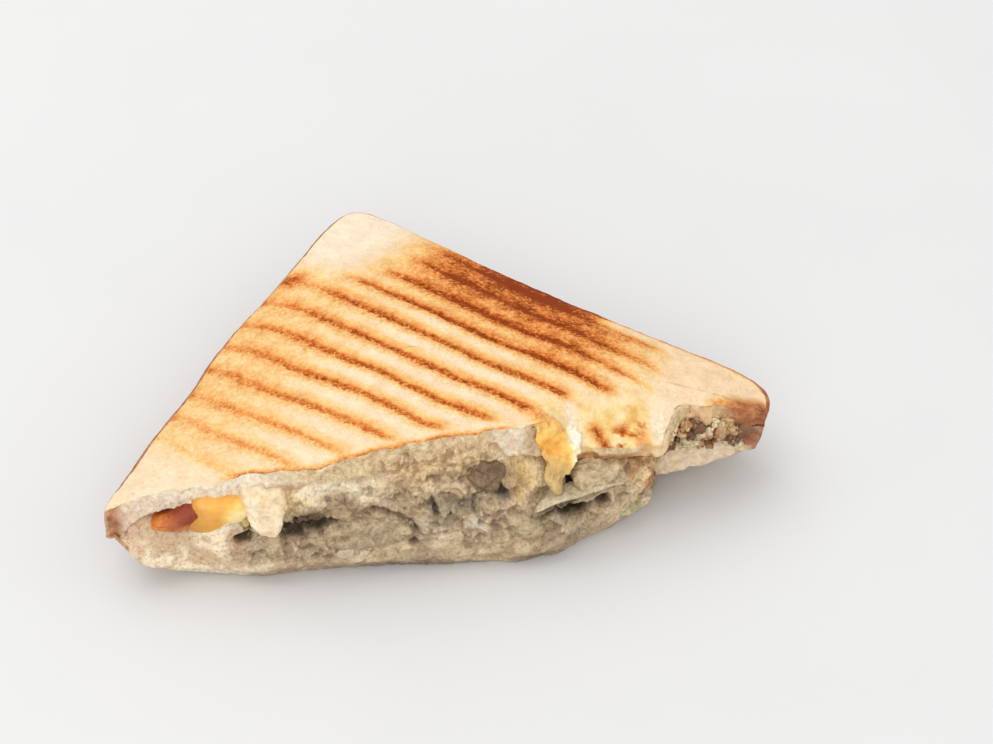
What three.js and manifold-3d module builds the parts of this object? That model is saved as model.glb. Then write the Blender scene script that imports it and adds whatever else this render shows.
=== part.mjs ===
// One half of a toasted chicken and mushroom club sandwich, cut from corner to corner.
// Three slices of square loaf hold two layers of creamy filling, which bulges out of the cut.
// Millimetres, +Z up. X runs along the cut, the cut faces -Y and the uncut corner points to +Y.
import * as THREE from "three";
import { mergeVertices } from "three/addons/utils/BufferGeometryUtils.js";
import Module from "manifold-3d";

const wasm = await Module();
wasm.setup();

// Driving sizes
const SLICE_SIDE = 109; // side of the square slice
const SLICE_SQUARENESS = 13; // exponent of the slice's rounded square
const CENTRE_BEHIND_CUT = 5; // the knife passed this far off the slice's middle
const TIP_X = 73; // how far the two sharp tips reach from the middle of the cut
const BACK_Y = 78; // how far the uncut corner lies behind the cut
const GAP = 0.35; // clearance between neighbouring pieces

const BREAD = { bottom: [2.8, 4.0], middle: [2.4, 3.6], top: [4.2, 3.6] }; // at a tip, and more at the middle
const LIFT_LEFT = 8; // how far each corner curls up off the table
const LIFT_RIGHT = 7;
const LIFT_BACK = 3;
const CURL = 1.6; // exponent of how late the curl sets in
const TAPER = 3; // exponent of how late the slices get thinner towards the tips
const FLAT_HALF_WIDTH = 26; // the underside is flat inside these limits
const FLAT_DEPTH = 45;
const LOWER_FILLING = 3.0; // filling between the slices at the sandwich's middle
const UPPER_FILLING = 7.2;
const FILLING_THIN = 0.4; // least thickness of the two layers of filling
const FILLING_BEHIND = 1.1; // their cut lies this far behind the top slice's
const CHEESE = { thick: 1.2, behind: 0.4, shrink: 17 };
const PLUMPNESS = 3.2; // exponent of how soon the slices bulge behind their crust
const LEFT_SET_BACK = { most: 8, from: 5, full: 48 }; // the top slice is set back towards its left tip
const RIGHT_GAPE = { open: 2.5, from: 38, full: 66, front: 8, shut: 34 }; // the right tip stands open

// Small mathematics
const clamp = (v, lo, hi) => Math.min(hi, Math.max(lo, v));
const mix = (a, b, t) => a + (b - a) * t;
const smooth = (lo, hi, v) => {
  const t = clamp((v - lo) / (hi - lo), 0, 1);
  return t * t * (3 - 2 * t);
};
const windowOf = (x, lo, hi, edge) =>
  smooth(lo, lo + edge, x) * (1 - smooth(hi - edge, hi, x));
const fraction = (v) => v - Math.floor(v);

// The stack of layers, as heights over the table at a place x, y
const half = SLICE_SIDE / 2;

// Plumpness: 1 at the middle of the square slice and 0 at its crust.
function plumpness(x, y) {
  const back = y - CENTRE_BEHIND_CUT;
  const u = Math.min(1, Math.abs(x + back) / Math.SQRT2 / half);
  const v = Math.min(1, Math.abs(back - x) / Math.SQRT2 / half);
  return (1 - u ** PLUMPNESS) * (1 - v ** PLUMPNESS);
}

function underside(x, y) {
  const side = clamp((Math.abs(x) - FLAT_HALF_WIDTH) / (TIP_X - FLAT_HALF_WIDTH), 0, 1);
  const back = clamp((y - FLAT_DEPTH) / (BACK_Y - FLAT_DEPTH), 0, 1);
  return (x < 0 ? LIFT_LEFT : LIFT_RIGHT) * side ** CURL + LIFT_BACK * back ** CURL;
}

function thickness([atTip, more], x) {
  return atTip + more * (1 - Math.min(1, Math.abs(x) / TIP_X) ** TAPER);
}

// The knife dragged a lip of the top slice down over the filling, right of the middle.
const LIP = { from: 23, to: 48, edge: 7, drop: 5.5, out: 2.6, reach: 4.5 };

// The cut edge of the top slice, which is set back towards the left tip
const topCut = (x) =>
  -2.6 - 0.02 * x + LEFT_SET_BACK.most * smooth(LEFT_SET_BACK.from, LEFT_SET_BACK.full, -x);

// How much of the lip's drag a place feels: 1 at the cut edge, fading behind it
function lipPull(x, y) {
  const behind = Math.max(0, y - topCut(x));
  return windowOf(x, LIP.from, LIP.to, LIP.edge) * Math.exp(-((behind / LIP.reach) ** 2));
}

function stack(x, y) {
  const plump = plumpness(x, y);
  const sideways = smooth(RIGHT_GAPE.from, RIGHT_GAPE.full, x);
  const gape = RIGHT_GAPE.open * sideways * (1 - smooth(RIGHT_GAPE.front, RIGHT_GAPE.shut, y));
  const bottomLow = underside(x, y);
  const bottomHigh = bottomLow + thickness(BREAD.bottom, x);
  const middleLow = bottomHigh + GAP + LOWER_FILLING * plump;
  const middleHigh = middleLow + thickness(BREAD.middle, x);
  const drop = LIP.drop * lipPull(x, y);
  const topLow = middleHigh + GAP + UPPER_FILLING * plump + gape - drop;
  const topHigh = topLow + thickness(BREAD.top, x);
  return { bottomLow, bottomHigh, middleLow, middleHigh, topLow, topHigh };
}

// Outlines: a rounded square standing on its corner, cut across by a line
function outline({ halfSide, squareness, shiftX, cut, cutPoints, arcPoints }) {
  const reach = (angle) => {
    const u = Math.abs(Math.cos(angle) + Math.sin(angle)) / Math.SQRT2;
    const v = Math.abs(Math.sin(angle) - Math.cos(angle)) / Math.SQRT2;
    return halfSide / (u ** squareness + v ** squareness) ** (1 / squareness);
  };
  const onArc = (angle) => [
    shiftX + reach(angle) * Math.cos(angle),
    CENTRE_BEHIND_CUT + reach(angle) * Math.sin(angle),
  ];
  // Where the rounded square meets the cut, found by halving
  const meeting = (side) => {
    let [inside, outside] = [0.35, -0.35];
    for (let i = 0; i < 40; i++) {
      const middle = (inside + outside) / 2;
      const [x, y] = onArc(side > 0 ? middle : Math.PI - middle);
      if (y > cut(x)) inside = middle;
      else outside = middle;
    }
    return side > 0 ? inside : Math.PI - inside;
  };
  const start = meeting(1);
  const end = meeting(-1);
  const points = [];
  const [leftX] = onArc(end);
  const [rightX] = onArc(start);
  for (let i = 0; i < cutPoints; i++) {
    const x = mix(leftX, rightX, i / cutPoints);
    points.push({ x, y: cut(x), crust: i === 0 ? 0.5 : 0 });
  }
  for (let i = 0; i < arcPoints; i++) {
    const even = mix(start, end, i / arcPoints);
    const angle = even - 0.14 * Math.sin(4 * even) * (i > 0);
    const [x, y] = onArc(angle);
    points.push({ x, y, crust: i === 0 ? 0.5 : 1 });
  }
  // Outward directions, from the neighbours on each side
  points.forEach((p, i) => {
    const before = points.at(i - 1);
    const after = points[(i + 1) % points.length];
    const length = Math.hypot(after.x - before.x, after.y - before.y);
    p.outX = (after.y - before.y) / length;
    p.outY = (before.x - after.x) / length;
  });
  return points;
}

// A closed solid from a list of closed rings between two poles
function ringSolid(rings, first, last) {
  const count = rings[0].length;
  const vertices = [first, ...rings.flat(), last];
  const faces = [];
  const at = (ring, i) => 1 + ring * count + (i % count);
  for (let i = 0; i < count; i++) {
    faces.push([0, at(0, i), at(0, i + 1)]);
    for (let ring = 0; ring < rings.length - 1; ring++) {
      const [a, b] = [at(ring, i), at(ring, i + 1)];
      const [c, d] = [at(ring + 1, i), at(ring + 1, i + 1)];
      faces.push([a, c, d], [a, d, b]);
    }
    const lastRing = rings.length - 1;
    faces.push([vertices.length - 1, at(lastRing, i + 1), at(lastRing, i)]);
  }
  return new wasm.Manifold(
    new wasm.Mesh({
      numProp: 3,
      vertProperties: new Float32Array(vertices.flat()),
      triVerts: new Uint32Array(faces.flat()),
    }),
  );
}

// How far the wall of a slice stands in from its outline, from the top edge down
const WALL = [
  { down: 0, crust: 2.2, cut: 0.3 },
  { down: 0.18, crust: 0.6, cut: 0 },
  { down: 0.5, crust: 0, cut: 0.25 },
  { down: 0.84, crust: 0.5, cut: 0 },
  { down: 1, crust: 1.9, cut: 0.3 },
];
const RINGS = { fine: [0.3, 0.55, 0.76, 0.9, 0.97], plain: [0.4, 0.76, 0.93], coarse: [0.5, 0.82] };
const HEART = [0, 26]; // the middle of the rings

// A layer between two height functions, over a cut rounded square
function layer({
  shape,
  low,
  high,
  lean = 0,
  grow = 0,
  walls = WALL,
  upper = RINGS.plain,
  under = RINGS.plain,
  warp = (p) => p,
}) {
  const points = outline(shape);
  const ringAt = (share, wall) =>
    points.map((p) => {
      const inset = mix(wall.cut, wall.crust, p.crust) - grow;
      const edgeX = p.x - inset * p.outX;
      const edgeY = p.y - inset * p.outY - lean * wall.down * (1 - p.crust);
      const x = mix(HEART[0], edgeX, share);
      const y = mix(HEART[1], edgeY, share);
      const z = mix(high(x, y) + grow, low(x, y) - grow, wall.down);
      return warp([x, y, z]);
    });
  const lower = walls.at(-1);
  const rings = [
    ...upper.map((share) => ringAt(share, walls[0])),
    ...walls.map((wall) => ringAt(1, wall)),
    ...under.toReversed().map((share) => ringAt(share, lower)),
  ];
  const pole = (z) => warp([...HEART, z]);
  return ringSolid(rings, pole(high(...HEART) + grow), pole(low(...HEART) - grow));
}

// The three slices of bread
const middleCut = (x) => 0.6 + 0.5 * Math.sin(x / 9);
const bottomCut = (x) =>
  -1.0 - 0.3 * Math.sin(x / 11) + 4 * smooth(40, 68, -x) + 4 * smooth(40, 52, x);

const sliceShape = (cut, shiftX, shrink, cutPoints) => ({
  halfSide: half - shrink,
  squareness: SLICE_SQUARENESS,
  shiftX,
  cut,
  cutPoints,
  arcPoints: 28,
});

// The lip also stands out of the cut.
const outOfCut = ([x, y, z]) => [x, y - LIP.out * lipPull(x, y), z];

const bottomSlice = (grow = 0) =>
  layer({
    shape: sliceShape(bottomCut, 0.8, 1.2, 14),
    low: (x, y) => stack(x, y).bottomLow,
    high: (x, y) => stack(x, y).bottomHigh,
    lean: -0.6,
    grow,
  });
const middleSlice = (grow = 0) =>
  layer({
    shape: sliceShape(middleCut, 1.8, 0.8, 14),
    low: (x, y) => stack(x, y).middleLow,
    high: (x, y) => stack(x, y).middleHigh,
    grow,
  });
const topSlice = (grow = 0) =>
  layer({
    shape: sliceShape(topCut, 1.6, 0, 20),
    low: (x, y) => stack(x, y).topLow,
    high: (x, y) => stack(x, y).topHigh,
    lean: 2.2,
    grow,
    upper: RINGS.fine,
    warp: outOfCut,
  });

// The grill's ridges pressed shallow grooves into the top slice, 2.6 wide where they meet its face
const GRILL = {
  angle: THREE.MathUtils.degToRad(-50),
  pitch: 7.7,
  first: -31,
  count: 12,
  width: 2.6,
  depth: 0.8,
  proud: 1.0,
  stations: 6,
};

function grillGroove(index) {
  const across = GRILL.first + GRILL.pitch * index;
  const [c, s] = [Math.cos(GRILL.angle), Math.sin(GRILL.angle)];
  const place = (along, side) => [along * c - side * s, along * s + side * c];
  const inside = (along) => {
    const [x, y] = place(along, across);
    return y > topCut(x) + 2 && lipPull(x, y) < 0.03 && plumpness(x, y) > 0.12;
  };
  const marks = [];
  for (let along = -64; along < 64; along += 0.5) if (inside(along)) marks.push(along);
  const [from, to] = [marks[0], marks.at(-1)];
  const sections = [];
  for (let i = 0; i < GRILL.stations; i++) {
    const share = i / (GRILL.stations - 1);
    const along = mix(from, to, share);
    const sunk = GRILL.depth * Math.min(1, 5 * share, 5 * (1 - share)) - 0.1;
    const corner = (side, up) => {
      const [x, y] = place(along, across + side);
      return outOfCut([x, y, stack(x, y).topHigh + up]);
    };
    const reach = (GRILL.width / 2) * (1 + GRILL.proud / GRILL.depth);
    sections.push([corner(reach, GRILL.proud), corner(0, -sunk), corner(-reach, GRILL.proud)]);
  }
  const endOf = ([a, b, c]) => [0, 1, 2].map((k) => (a[k] + b[k] + c[k]) / 3);
  return ringSolid(sections, endOf(sections[0]), endOf(sections.at(-1)));
}

// Lumps: an uneven ellipsoid, turned about the vertical and tilted
function lump({ at, size, turn = 0, tilt = 0, seed = 1, detail = 1, squareness = 2.6, grow = 0 }) {
  const ball = mergeVertices(
    new THREE.IcosahedronGeometry(1, detail).deleteAttribute("normal").deleteAttribute("uv"),
    1e-4,
  );
  const position = ball.getAttribute("position");
  const place = new THREE.Matrix4()
    .makeTranslation(...at)
    .multiply(new THREE.Matrix4().makeRotationFromEuler(new THREE.Euler(0, tilt, turn, "ZYX")));
  const point = new THREE.Vector3();
  for (let i = 0; i < position.count; i++) {
    point.fromBufferAttribute(position, i);
    const sum = ["x", "y", "z"].reduce((t, k) => t + Math.abs(point[k]) ** squareness, 0);
    const uneven =
      1 +
      0.1 * Math.sin(3.1 * point.x + 2.3 * point.y + 1.7 * seed) +
      0.08 * Math.sin(4.3 * point.z - 3.7 * point.y + 2.9 * seed);
    point.multiplyScalar(uneven / sum ** (1 / squareness));
    point.multiply(new THREE.Vector3(...size.map((v) => v + grow)));
    position.setXYZ(i, ...point.applyMatrix4(place));
  }
  return new wasm.Manifold(
    new wasm.Mesh({
      numProp: 3,
      vertProperties: position.array,
      triVerts: new Uint32Array(ball.index.array),
    }),
  );
}

// The mass of filling that bulges out of the cut
const MASS = { from: -44, to: 49, stations: 52, levels: 10, foot: 0.3, deep: 5, clear: 0.4 };

// How far the foot of the mass stands out of the cut: a hump right of the middle
function footBulge(x) {
  const spread = x < 18 ? 45 : 25;
  return 12.4 * Math.exp(-(((x - 18) / spread) ** 2));
}

// The front face at a place x and a share up from the foot, 0, to the bread, 1
function massFront(x, up) {
  const foot = -footBulge(x);
  const head = topCut(x) - 1.2;
  const belly = 0.6 * Math.sin(Math.PI * clamp(up + 0.15, 0, 1));
  const rounded = 2.4 * (1 - smooth(0, 0.22, up));
  return mix(foot, head, up ** 1.25) - belly + rounded;
}

function massSpan(x) {
  const low = Math.max(MASS.foot, underside(x, 0) + 0.2);
  return [low, stack(x, topCut(x)).topLow - GAP - MASS.clear];
}

// Chunks of chicken and mushroom that press out of the mass, spread by a low-discrepancy rule
const CHUNKS = { count: 30, smallest: 2.6, largest: 5.0, proud: 0.42 };
const chunks = Array.from({ length: CHUNKS.count }, (_, i) => {
  const x = mix(MASS.from + 4, MASS.to - 4, fraction(0.31 + i * 0.7549));
  const [low, high] = massSpan(x);
  const radius = mix(CHUNKS.smallest, CHUNKS.largest, fraction(i * 0.618));
  return { x, z: mix(low + radius, high - radius, fraction(0.57 + i * 0.5698)), radius };
});

// How far the chunks stand out at a place on the front
function chunkRelief(x, z) {
  return chunks.reduce((most, { x: atX, z: atZ, radius }) => {
    const away = ((x - atX) / (1.25 * radius)) ** 2 + ((z - atZ) / radius) ** 2;
    return Math.max(most, CHUNKS.proud * radius * Math.sqrt(Math.max(0, 1 - away)));
  }, 0);
}

function frontMass() {
  const rings = [];
  for (let i = 0; i <= MASS.stations; i++) {
    const x = mix(MASS.from, MASS.to, i / MASS.stations);
    const [low, high] = massSpan(x);
    const ends = Math.min(1, Math.min(i, MASS.stations - i) / 5) ** 0.5;
    const ring = [];
    for (let level = 0; level <= MASS.levels; level++) {
      const up = level / MASS.levels;
      const z = mix(low, high, up);
      ring.push([x, ends * (massFront(x, up) - chunkRelief(x, z)), z]);
    }
    const back = massFront(x, 1) + MASS.deep;
    ring.push([x, back, high], [x, back, low]);
    rings.push(ring);
  }
  const endOf = (ring) => [0, 1, 2].map((k) => (ring[0][k] + ring.at(-2)[k]) / 2);
  return ringSolid(rings, endOf(rings[0]), endOf(rings.at(-1)));
}

// Crumbs of chicken that show in the open right tip
const TIP_CRUMBS = [48.5, 51.5, 54.5, 57.5].map((x, i) => ({
  at: [x, -0.6 + 0.7 * Math.sin(i * 2.1), 17.1 + 0.7 * Math.cos(i * 2.6)],
  size: [2.2, 2.0, 1.6],
  turn: i * 1.3,
  seed: i + 60,
}));

// A layer of filling between two slices, which ends inside the crust
function fillingLayer({ low, high, shrink }) {
  return layer({
    shape: {
      halfSide: half - shrink,
      squareness: 6,
      shiftX: 0,
      cut: (x) => topCut(x) + FILLING_BEHIND,
      cutPoints: 14,
      arcPoints: 22,
    },
    low,
    high: (x, y) => Math.max(low(x, y) + FILLING_THIN, high(x, y)),
    walls: [
      { down: 0, crust: 0.3, cut: 0.3 },
      { down: 1, crust: 0.3, cut: 0.3 },
    ],
    upper: RINGS.coarse,
    under: RINGS.coarse,
  });
}

// Named pieces, each a node of its own
const PIECES = {
  tomato_piece: { at: [-55.8, 2.6, 16.8], size: [4.2, 3.2, 2.7], tilt: -0.2, seed: 3 },
  cheese_fold_left: { at: [-46.9, 1.8, 17.0], size: [5.6, 3.4, 3.6], tilt: 0.2, seed: 31, detail: 2 },
  chicken_chunk_left: { at: [-37.2, 1.0, 16.8], size: [6.0, 4.4, 5.4], tilt: 0.25, seed: 5, detail: 2 },
  mushroom_dark_left: { at: [-30.4, -1.4, 12.6], size: [3.6, 3.2, 3.2], seed: 8 },
  mushroom_cap_slice: { at: [-15.8, -5.6, 11.6], size: [9.6, 3.4, 5.0], tilt: 0.12, seed: 11, detail: 2 },
  mushroom_dark_centre: { at: [10.2, -6.4, 17.6], size: [3.4, 3.4, 5.6], tilt: -0.35, seed: 14 },
  chicken_chunk_right: { at: [31.5, -7.2, 15.4], size: [6.2, 3.8, 3.2], tilt: 0.1, seed: 17, detail: 2 },
  lettuce_piece: { at: [40.5, -5.6, 4.6], size: [5.0, 3.0, 0.9], turn: 0.2, tilt: -0.15, seed: 21 },
};

// A thin slice of mushroom seen edge on, which curves out of the mass
const SLIVER = { from: [19, -10.2, 7.0], to: [38.5, -8.0, 11.6], sag: 1.4, thick: 1.1, deep: 5.5, stations: 10 };

function sliver(grow = 0) {
  const rings = [];
  for (let i = 0; i <= SLIVER.stations; i++) {
    const share = i / SLIVER.stations;
    const [x, y, z] = [0, 1, 2].map((k) => mix(SLIVER.from[k], SLIVER.to[k], share));
    const bow = SLIVER.sag * Math.sin(Math.PI * share);
    const thin = (SLIVER.thick / 2) * (0.55 + 0.45 * Math.sin(Math.PI * share)) + grow;
    const front = y - 1.5 * Math.sin(Math.PI * share) - grow;
    const back = y + SLIVER.deep + grow;
    const end = i === 0 ? -grow : i === SLIVER.stations ? grow : 0;
    rings.push([
      [x + end, front, z - bow - thin],
      [x + end, back, z - bow - thin],
      [x + end, back, z - bow + thin],
      [x + end, front, z - bow + thin],
    ]);
  }
  const centreOf = (ring) => [0, 1, 2].map((k) => (ring[0][k] + ring[2][k]) / 2);
  return ringSolid(rings.map((ring) => ring.toReversed()), centreOf(rings[0]), centreOf(rings.at(-1)));
}

// Melted cheese: a sheet under the top slice, with a run down the front on the right
const CHEESE_LUMPS = [
  { at: [22.4, -6.6, 20.6], size: [5.0, 2.6, 5.2], tilt: 0.5, seed: 33, detail: 2 },
  { at: [15.4, -5.9, 22.2], size: [3.0, 2.2, 3.2], seed: 35 },
];

const cheeseHigh = (x, y) => stack(x, y).topLow - 2 * GAP;

function cheese(grow = 0) {
  const sheet = layer({
    shape: {
      halfSide: half - CHEESE.shrink,
      squareness: 7,
      shiftX: 0,
      cut: (x) => topCut(x) + CHEESE.behind,
      cutPoints: 14,
      arcPoints: 20,
    },
    low: (x, y) => cheeseHigh(x, y) - CHEESE.thick,
    high: cheeseHigh,
    walls: [
      { down: 0, crust: 0.2, cut: 0.2 },
      { down: 1, crust: 0.2, cut: 0.2 },
    ],
    upper: RINGS.coarse,
    under: RINGS.coarse,
    grow,
    warp: outOfCut,
  });
  return CHEESE_LUMPS.reduce((solid, item) => solid.add(lump({ ...item, grow })), sheet);
}

// The largest body of a solid, without loose scraps
function mainBody(solid) {
  const bodies = solid.decompose();
  return bodies.reduce((best, body) => (body.volume() > best.volume() ? body : best));
}

const breadRoom = [topSlice(GAP), middleSlice(GAP), bottomSlice(GAP)];
const cutAll = (solid, tools) => tools.reduce((rest, tool) => rest.subtract(tool), solid);

const solids = {};
solids.bread_bottom = bottomSlice();
solids.bread_middle = middleSlice();
const grooves = Array.from({ length: GRILL.count }, (_, i) => grillGroove(i));
solids.bread_top = mainBody(cutAll(topSlice(), grooves));
const sliverRoom = sliver(GAP);
solids.mushroom_sliver = mainBody(cutAll(sliver(), breadRoom));
const taken = [...breadRoom, sliverRoom];
for (const [name, piece] of Object.entries(PIECES)) {
  solids[name] = mainBody(cutAll(lump(piece), taken));
  taken.push(lump({ ...piece, grow: GAP }));
}
solids.melted_cheese = mainBody(cutAll(cheese(), taken));
taken.push(cheese(GAP));

const fillingRoom = 2 * GAP;
let filling = frontMass()
  .add(
    fillingLayer({
      low: (x, y) => stack(x, y).middleHigh + fillingRoom,
      high: (x, y) => cheeseHigh(x, y) - CHEESE.thick - fillingRoom,
      shrink: 9,
    }),
  )
  .add(
    fillingLayer({
      low: (x, y) => stack(x, y).bottomHigh + fillingRoom,
      high: (x, y) => stack(x, y).middleLow - fillingRoom,
      shrink: 9,
    }),
  );
for (const crumb of TIP_CRUMBS) filling = filling.add(lump(crumb));
solids.filling = mainBody(cutAll(filling, taken));

// Colours and finishes
const FINISHES = {
  bread_top: [0xe9b877, 0.85],
  bread_middle: [0xe3cba6, 0.9],
  bread_bottom: [0xe0b27a, 0.88],
  filling: [0xb7a284, 0.5],
  melted_cheese: [0xf0b94c, 0.35],
  cheese_fold_left: [0xf0b94c, 0.35],
  tomato_piece: [0xb5562a, 0.35],
  chicken_chunk_left: [0xefdcb8, 0.5],
  chicken_chunk_right: [0xbfa57c, 0.55],
  mushroom_dark_left: [0x6f5c4a, 0.5],
  mushroom_cap_slice: [0xa8947a, 0.5],
  mushroom_dark_centre: [0x7a6550, 0.5],
  mushroom_sliver: [0xcbbd9f, 0.45],
  lettuce_piece: [0xa3a070, 0.5],
};

function meshOf(name, solid) {
  const { vertProperties, triVerts } = solid.getMesh();
  const geometry = new THREE.BufferGeometry();
  geometry.setAttribute("position", new THREE.BufferAttribute(vertProperties, 3));
  geometry.setIndex(new THREE.BufferAttribute(triVerts, 1));
  geometry.computeVertexNormals();
  const [color, roughness] = FINISHES[name];
  const mesh = new THREE.Mesh(
    geometry,
    new THREE.MeshStandardMaterial({ color, roughness, metalness: 0 }),
  );
  mesh.name = name;
  return mesh;
}

const sandwich = new THREE.Group();
for (const [name, solid] of Object.entries(solids)) sandwich.add(meshOf(name, solid));

// The origin is the middle of the underside's box
const box = new THREE.Box3().setFromObject(sandwich, true);
const centre = box.getCenter(new THREE.Vector3());
const half_sandwich = new THREE.Group();
half_sandwich.add(sandwich);
sandwich.position.set(-centre.x, -centre.y, -box.min.z);

export default half_sandwich;
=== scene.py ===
import math

import bpy
import numpy as np
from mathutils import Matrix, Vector


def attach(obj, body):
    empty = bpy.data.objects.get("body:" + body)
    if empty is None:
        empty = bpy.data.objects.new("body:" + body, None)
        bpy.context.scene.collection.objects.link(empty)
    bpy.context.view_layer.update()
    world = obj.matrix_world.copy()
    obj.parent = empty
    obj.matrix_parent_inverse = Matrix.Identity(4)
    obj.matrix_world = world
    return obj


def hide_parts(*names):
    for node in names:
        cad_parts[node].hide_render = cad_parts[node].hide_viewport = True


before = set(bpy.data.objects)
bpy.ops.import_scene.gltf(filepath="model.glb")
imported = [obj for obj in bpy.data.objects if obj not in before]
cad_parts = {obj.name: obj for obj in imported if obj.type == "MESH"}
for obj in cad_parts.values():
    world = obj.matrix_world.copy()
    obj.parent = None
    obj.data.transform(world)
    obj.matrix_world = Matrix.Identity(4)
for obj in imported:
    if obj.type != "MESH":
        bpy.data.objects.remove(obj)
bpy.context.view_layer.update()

# Bottom slice: one thin-cut slice of soft square toast, halved from corner to corner with a knife.
# It carries the whole stack, so its corners curl up off the table and sauce has soaked into its cut.
# All lengths below are millimetres from the middle of the cut, until into_row makes them metres.
HALF_SIDE = 54.5  # half the side of the square slice
SQUARENESS = 13  # exponent of its rounded corners
MIDDLE_BEHIND_CUT = 5  # the knife passed this far off the slice's middle
TIP_X = 73
CORNER_Y = 78
GAP = 0.35  # clearance between neighbouring layers
CUT_IN_ROW = np.array([-1.7543, -32.4761, 0.0])  # the middle of the cut in the frame's own axes
BREAD = {"bottom": (2.8, 4.0), "middle": (2.4, 3.6), "top": (4.2, 3.6)}  # at a tip, more at the middle
FILLED = {"lower": 3.0, "upper": 7.2}  # filling between the slices, at the sandwich's middle
CURL = {"left": 9.5, "right": 7, "corner": 3, "power": 1.6, "flat_x": 26, "flat_y": 45}
TOP_CUT = {"at": -2.6, "slant": 0.02}
LEFT_SET_BACK = {"first": 3.6, "second": 3.0, "from": 26, "half": 44, "full": 64}
RIGHT_SET_BACK = {"by": 3.0, "from": 48.5, "to": 76, "edge": 5}
RIGHT_TAPER = {"by": 2.2, "from": 58, "full": 72}
LEFT_HANG = {"by": 4.2, "from": 62, "full": 70.2, "round": 74.2}  # the tip's crust hangs down
LEFT_THIN = {"less": 1.5, "from": 8, "full": 42, "tip": 68}  # the knife pressed the top slice down
RIGHT_THIN = {"less": 3.2, "from": 45, "to": 67, "edge": 7, "front": 5, "back": 15}  # crumb torn away
RIGHT_SWOLLEN = 2.0  # the middle slice is swollen there by as much
BOW = {"corner": 1.3, "middle": 1.7, "tip": 0.9}
TIP_SQUASH = {"from": 54, "bottom": 0.24, "middle": 0.20}  # the two lower slices' left tips
TABLE_CLEAR = 0.02  # the lowest the bottom slice reaches
RIGHT_GAPE = {"open": 2.5, "from": 38, "full": 66, "front": 8, "shut": 34}
LIP = {"from": 23, "to": 50, "rise": 7, "fall": 3.5, "drop": 5.5, "under": 0.3, "out": 2.6, "reach": 4.5}
HEART = np.array([0.0, 26.0])  # the rows of points run outwards from here
OUTLINE_FINE = {"angles": 6001, "past": 0.35, "cut": 2001}  # past half a turn at both ends, in radians
NEAR_TIP = 8  # a cut's lean and roughness fade over this way to a tip
FAR = 9.0  # farther than any distance it is compared with
PORES = [  # size, where a pit ends and is deepest, chance of none, depth and what is added to the seed
    (1.25, 0.46, 0.12, 0.35, 0.42, 0),
    (2.6, 0.40, 0.10, 0.6, 0.8, 40),
]
GRILL = {"turn": math.radians(-50), "first": -31, "pitch": 7.7, "deep": 0.42}  # the bars of the grill
GRILL_BEND = {"right": 2.4, "left": 1.9, "top": 1.8}
COATS = {  # what covers the toast where an attribute says so: its noise, then its colours
    "crumb": (1.1, 4, 0.7, [(0.28, (200, 168, 130)), (0.60, (252, 240, 220)), (0.42, (238, 216, 184))]),
    "sauce": (
        1.6, 4, 0.75,
        [(0.28, (150, 116, 80)), (0.76, (250, 230, 188)), (0.42, (206, 176, 134)), (0.60, (238, 212, 168))],
    ),
    "melt": (
        3.4, 3, 0.6,
        [(0.28, (252, 238, 214)), (0.72, (228, 172, 88)), (0.44, (248, 222, 160)), (0.58, (242, 204, 124))],
    ),
    "crust": (1.8, 4, 0.65, [(0.32, (146, 84, 50)), (0.55, (186, 118, 76)), (0.75, (214, 160, 112))]),
}


def smooth(low, high, value):
    """0 below low and 1 above high, with a soft S between: three squared shares less two cubed."""
    share = np.clip((value - low) / (high - low), 0, 1)
    return share * share * (3 - 2 * share)


def mix(first, second, share):
    """The first value, turning into the second as share goes from 0 to 1."""
    return first + (second - first) * share


def between(value, start, end, edge):
    """1 between start and end and 0 outside, with soft edges."""
    return smooth(start, start + edge, value) * (1 - smooth(end - edge, end, value))


def bell(value, middle, width):
    """A bell curve: one over e raised to the square of the distance from its middle, in widths."""
    return np.exp(-(((value - middle) / width) ** 2))


def top_cut(x):
    """The line of the top slice's cut: nearly straight, set back in two soft steps at the left and torn
    back at the right."""
    back = LEFT_SET_BACK["first"] * smooth(LEFT_SET_BACK["from"], LEFT_SET_BACK["half"], -x)
    back = back + LEFT_SET_BACK["second"] * smooth(LEFT_SET_BACK["half"], LEFT_SET_BACK["full"], -x)
    torn = between(x, RIGHT_SET_BACK["from"], RIGHT_SET_BACK["to"], RIGHT_SET_BACK["edge"])
    return TOP_CUT["at"] - TOP_CUT["slant"] * x + back + RIGHT_SET_BACK["by"] * torn


def lip_pull(x, y):
    """How far a place follows the torn lip: 1 at the cut inside its width, fading behind by a bell curve."""
    wide = smooth(LIP["from"], LIP["from"] + LIP["rise"], x)
    wide = wide * (1 - smooth(LIP["to"] - LIP["fall"], LIP["to"], x))
    return wide * bell(np.maximum(0, y - top_cut(x)), 0, LIP["reach"])


def plumpness(x, y):
    """1 at the middle of the square slice and 0 at its crust: one less a power, along both sides."""
    back = y - MIDDLE_BEHIND_CUT
    u = np.minimum(1, np.abs(x + back) / math.sqrt(2) / HALF_SIDE)
    v = np.minimum(1, np.abs(back - x) / math.sqrt(2) / HALF_SIDE)
    return (1 - u**3.2) * (1 - v**3.2)


def thickness(which, x):
    """A slice's thickness, which thins towards the tips by the cube of the way there."""
    at_tip, more = BREAD[which]
    return at_tip + more * (1 - np.minimum(1, np.abs(x) / TIP_X) ** 3)


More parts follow.
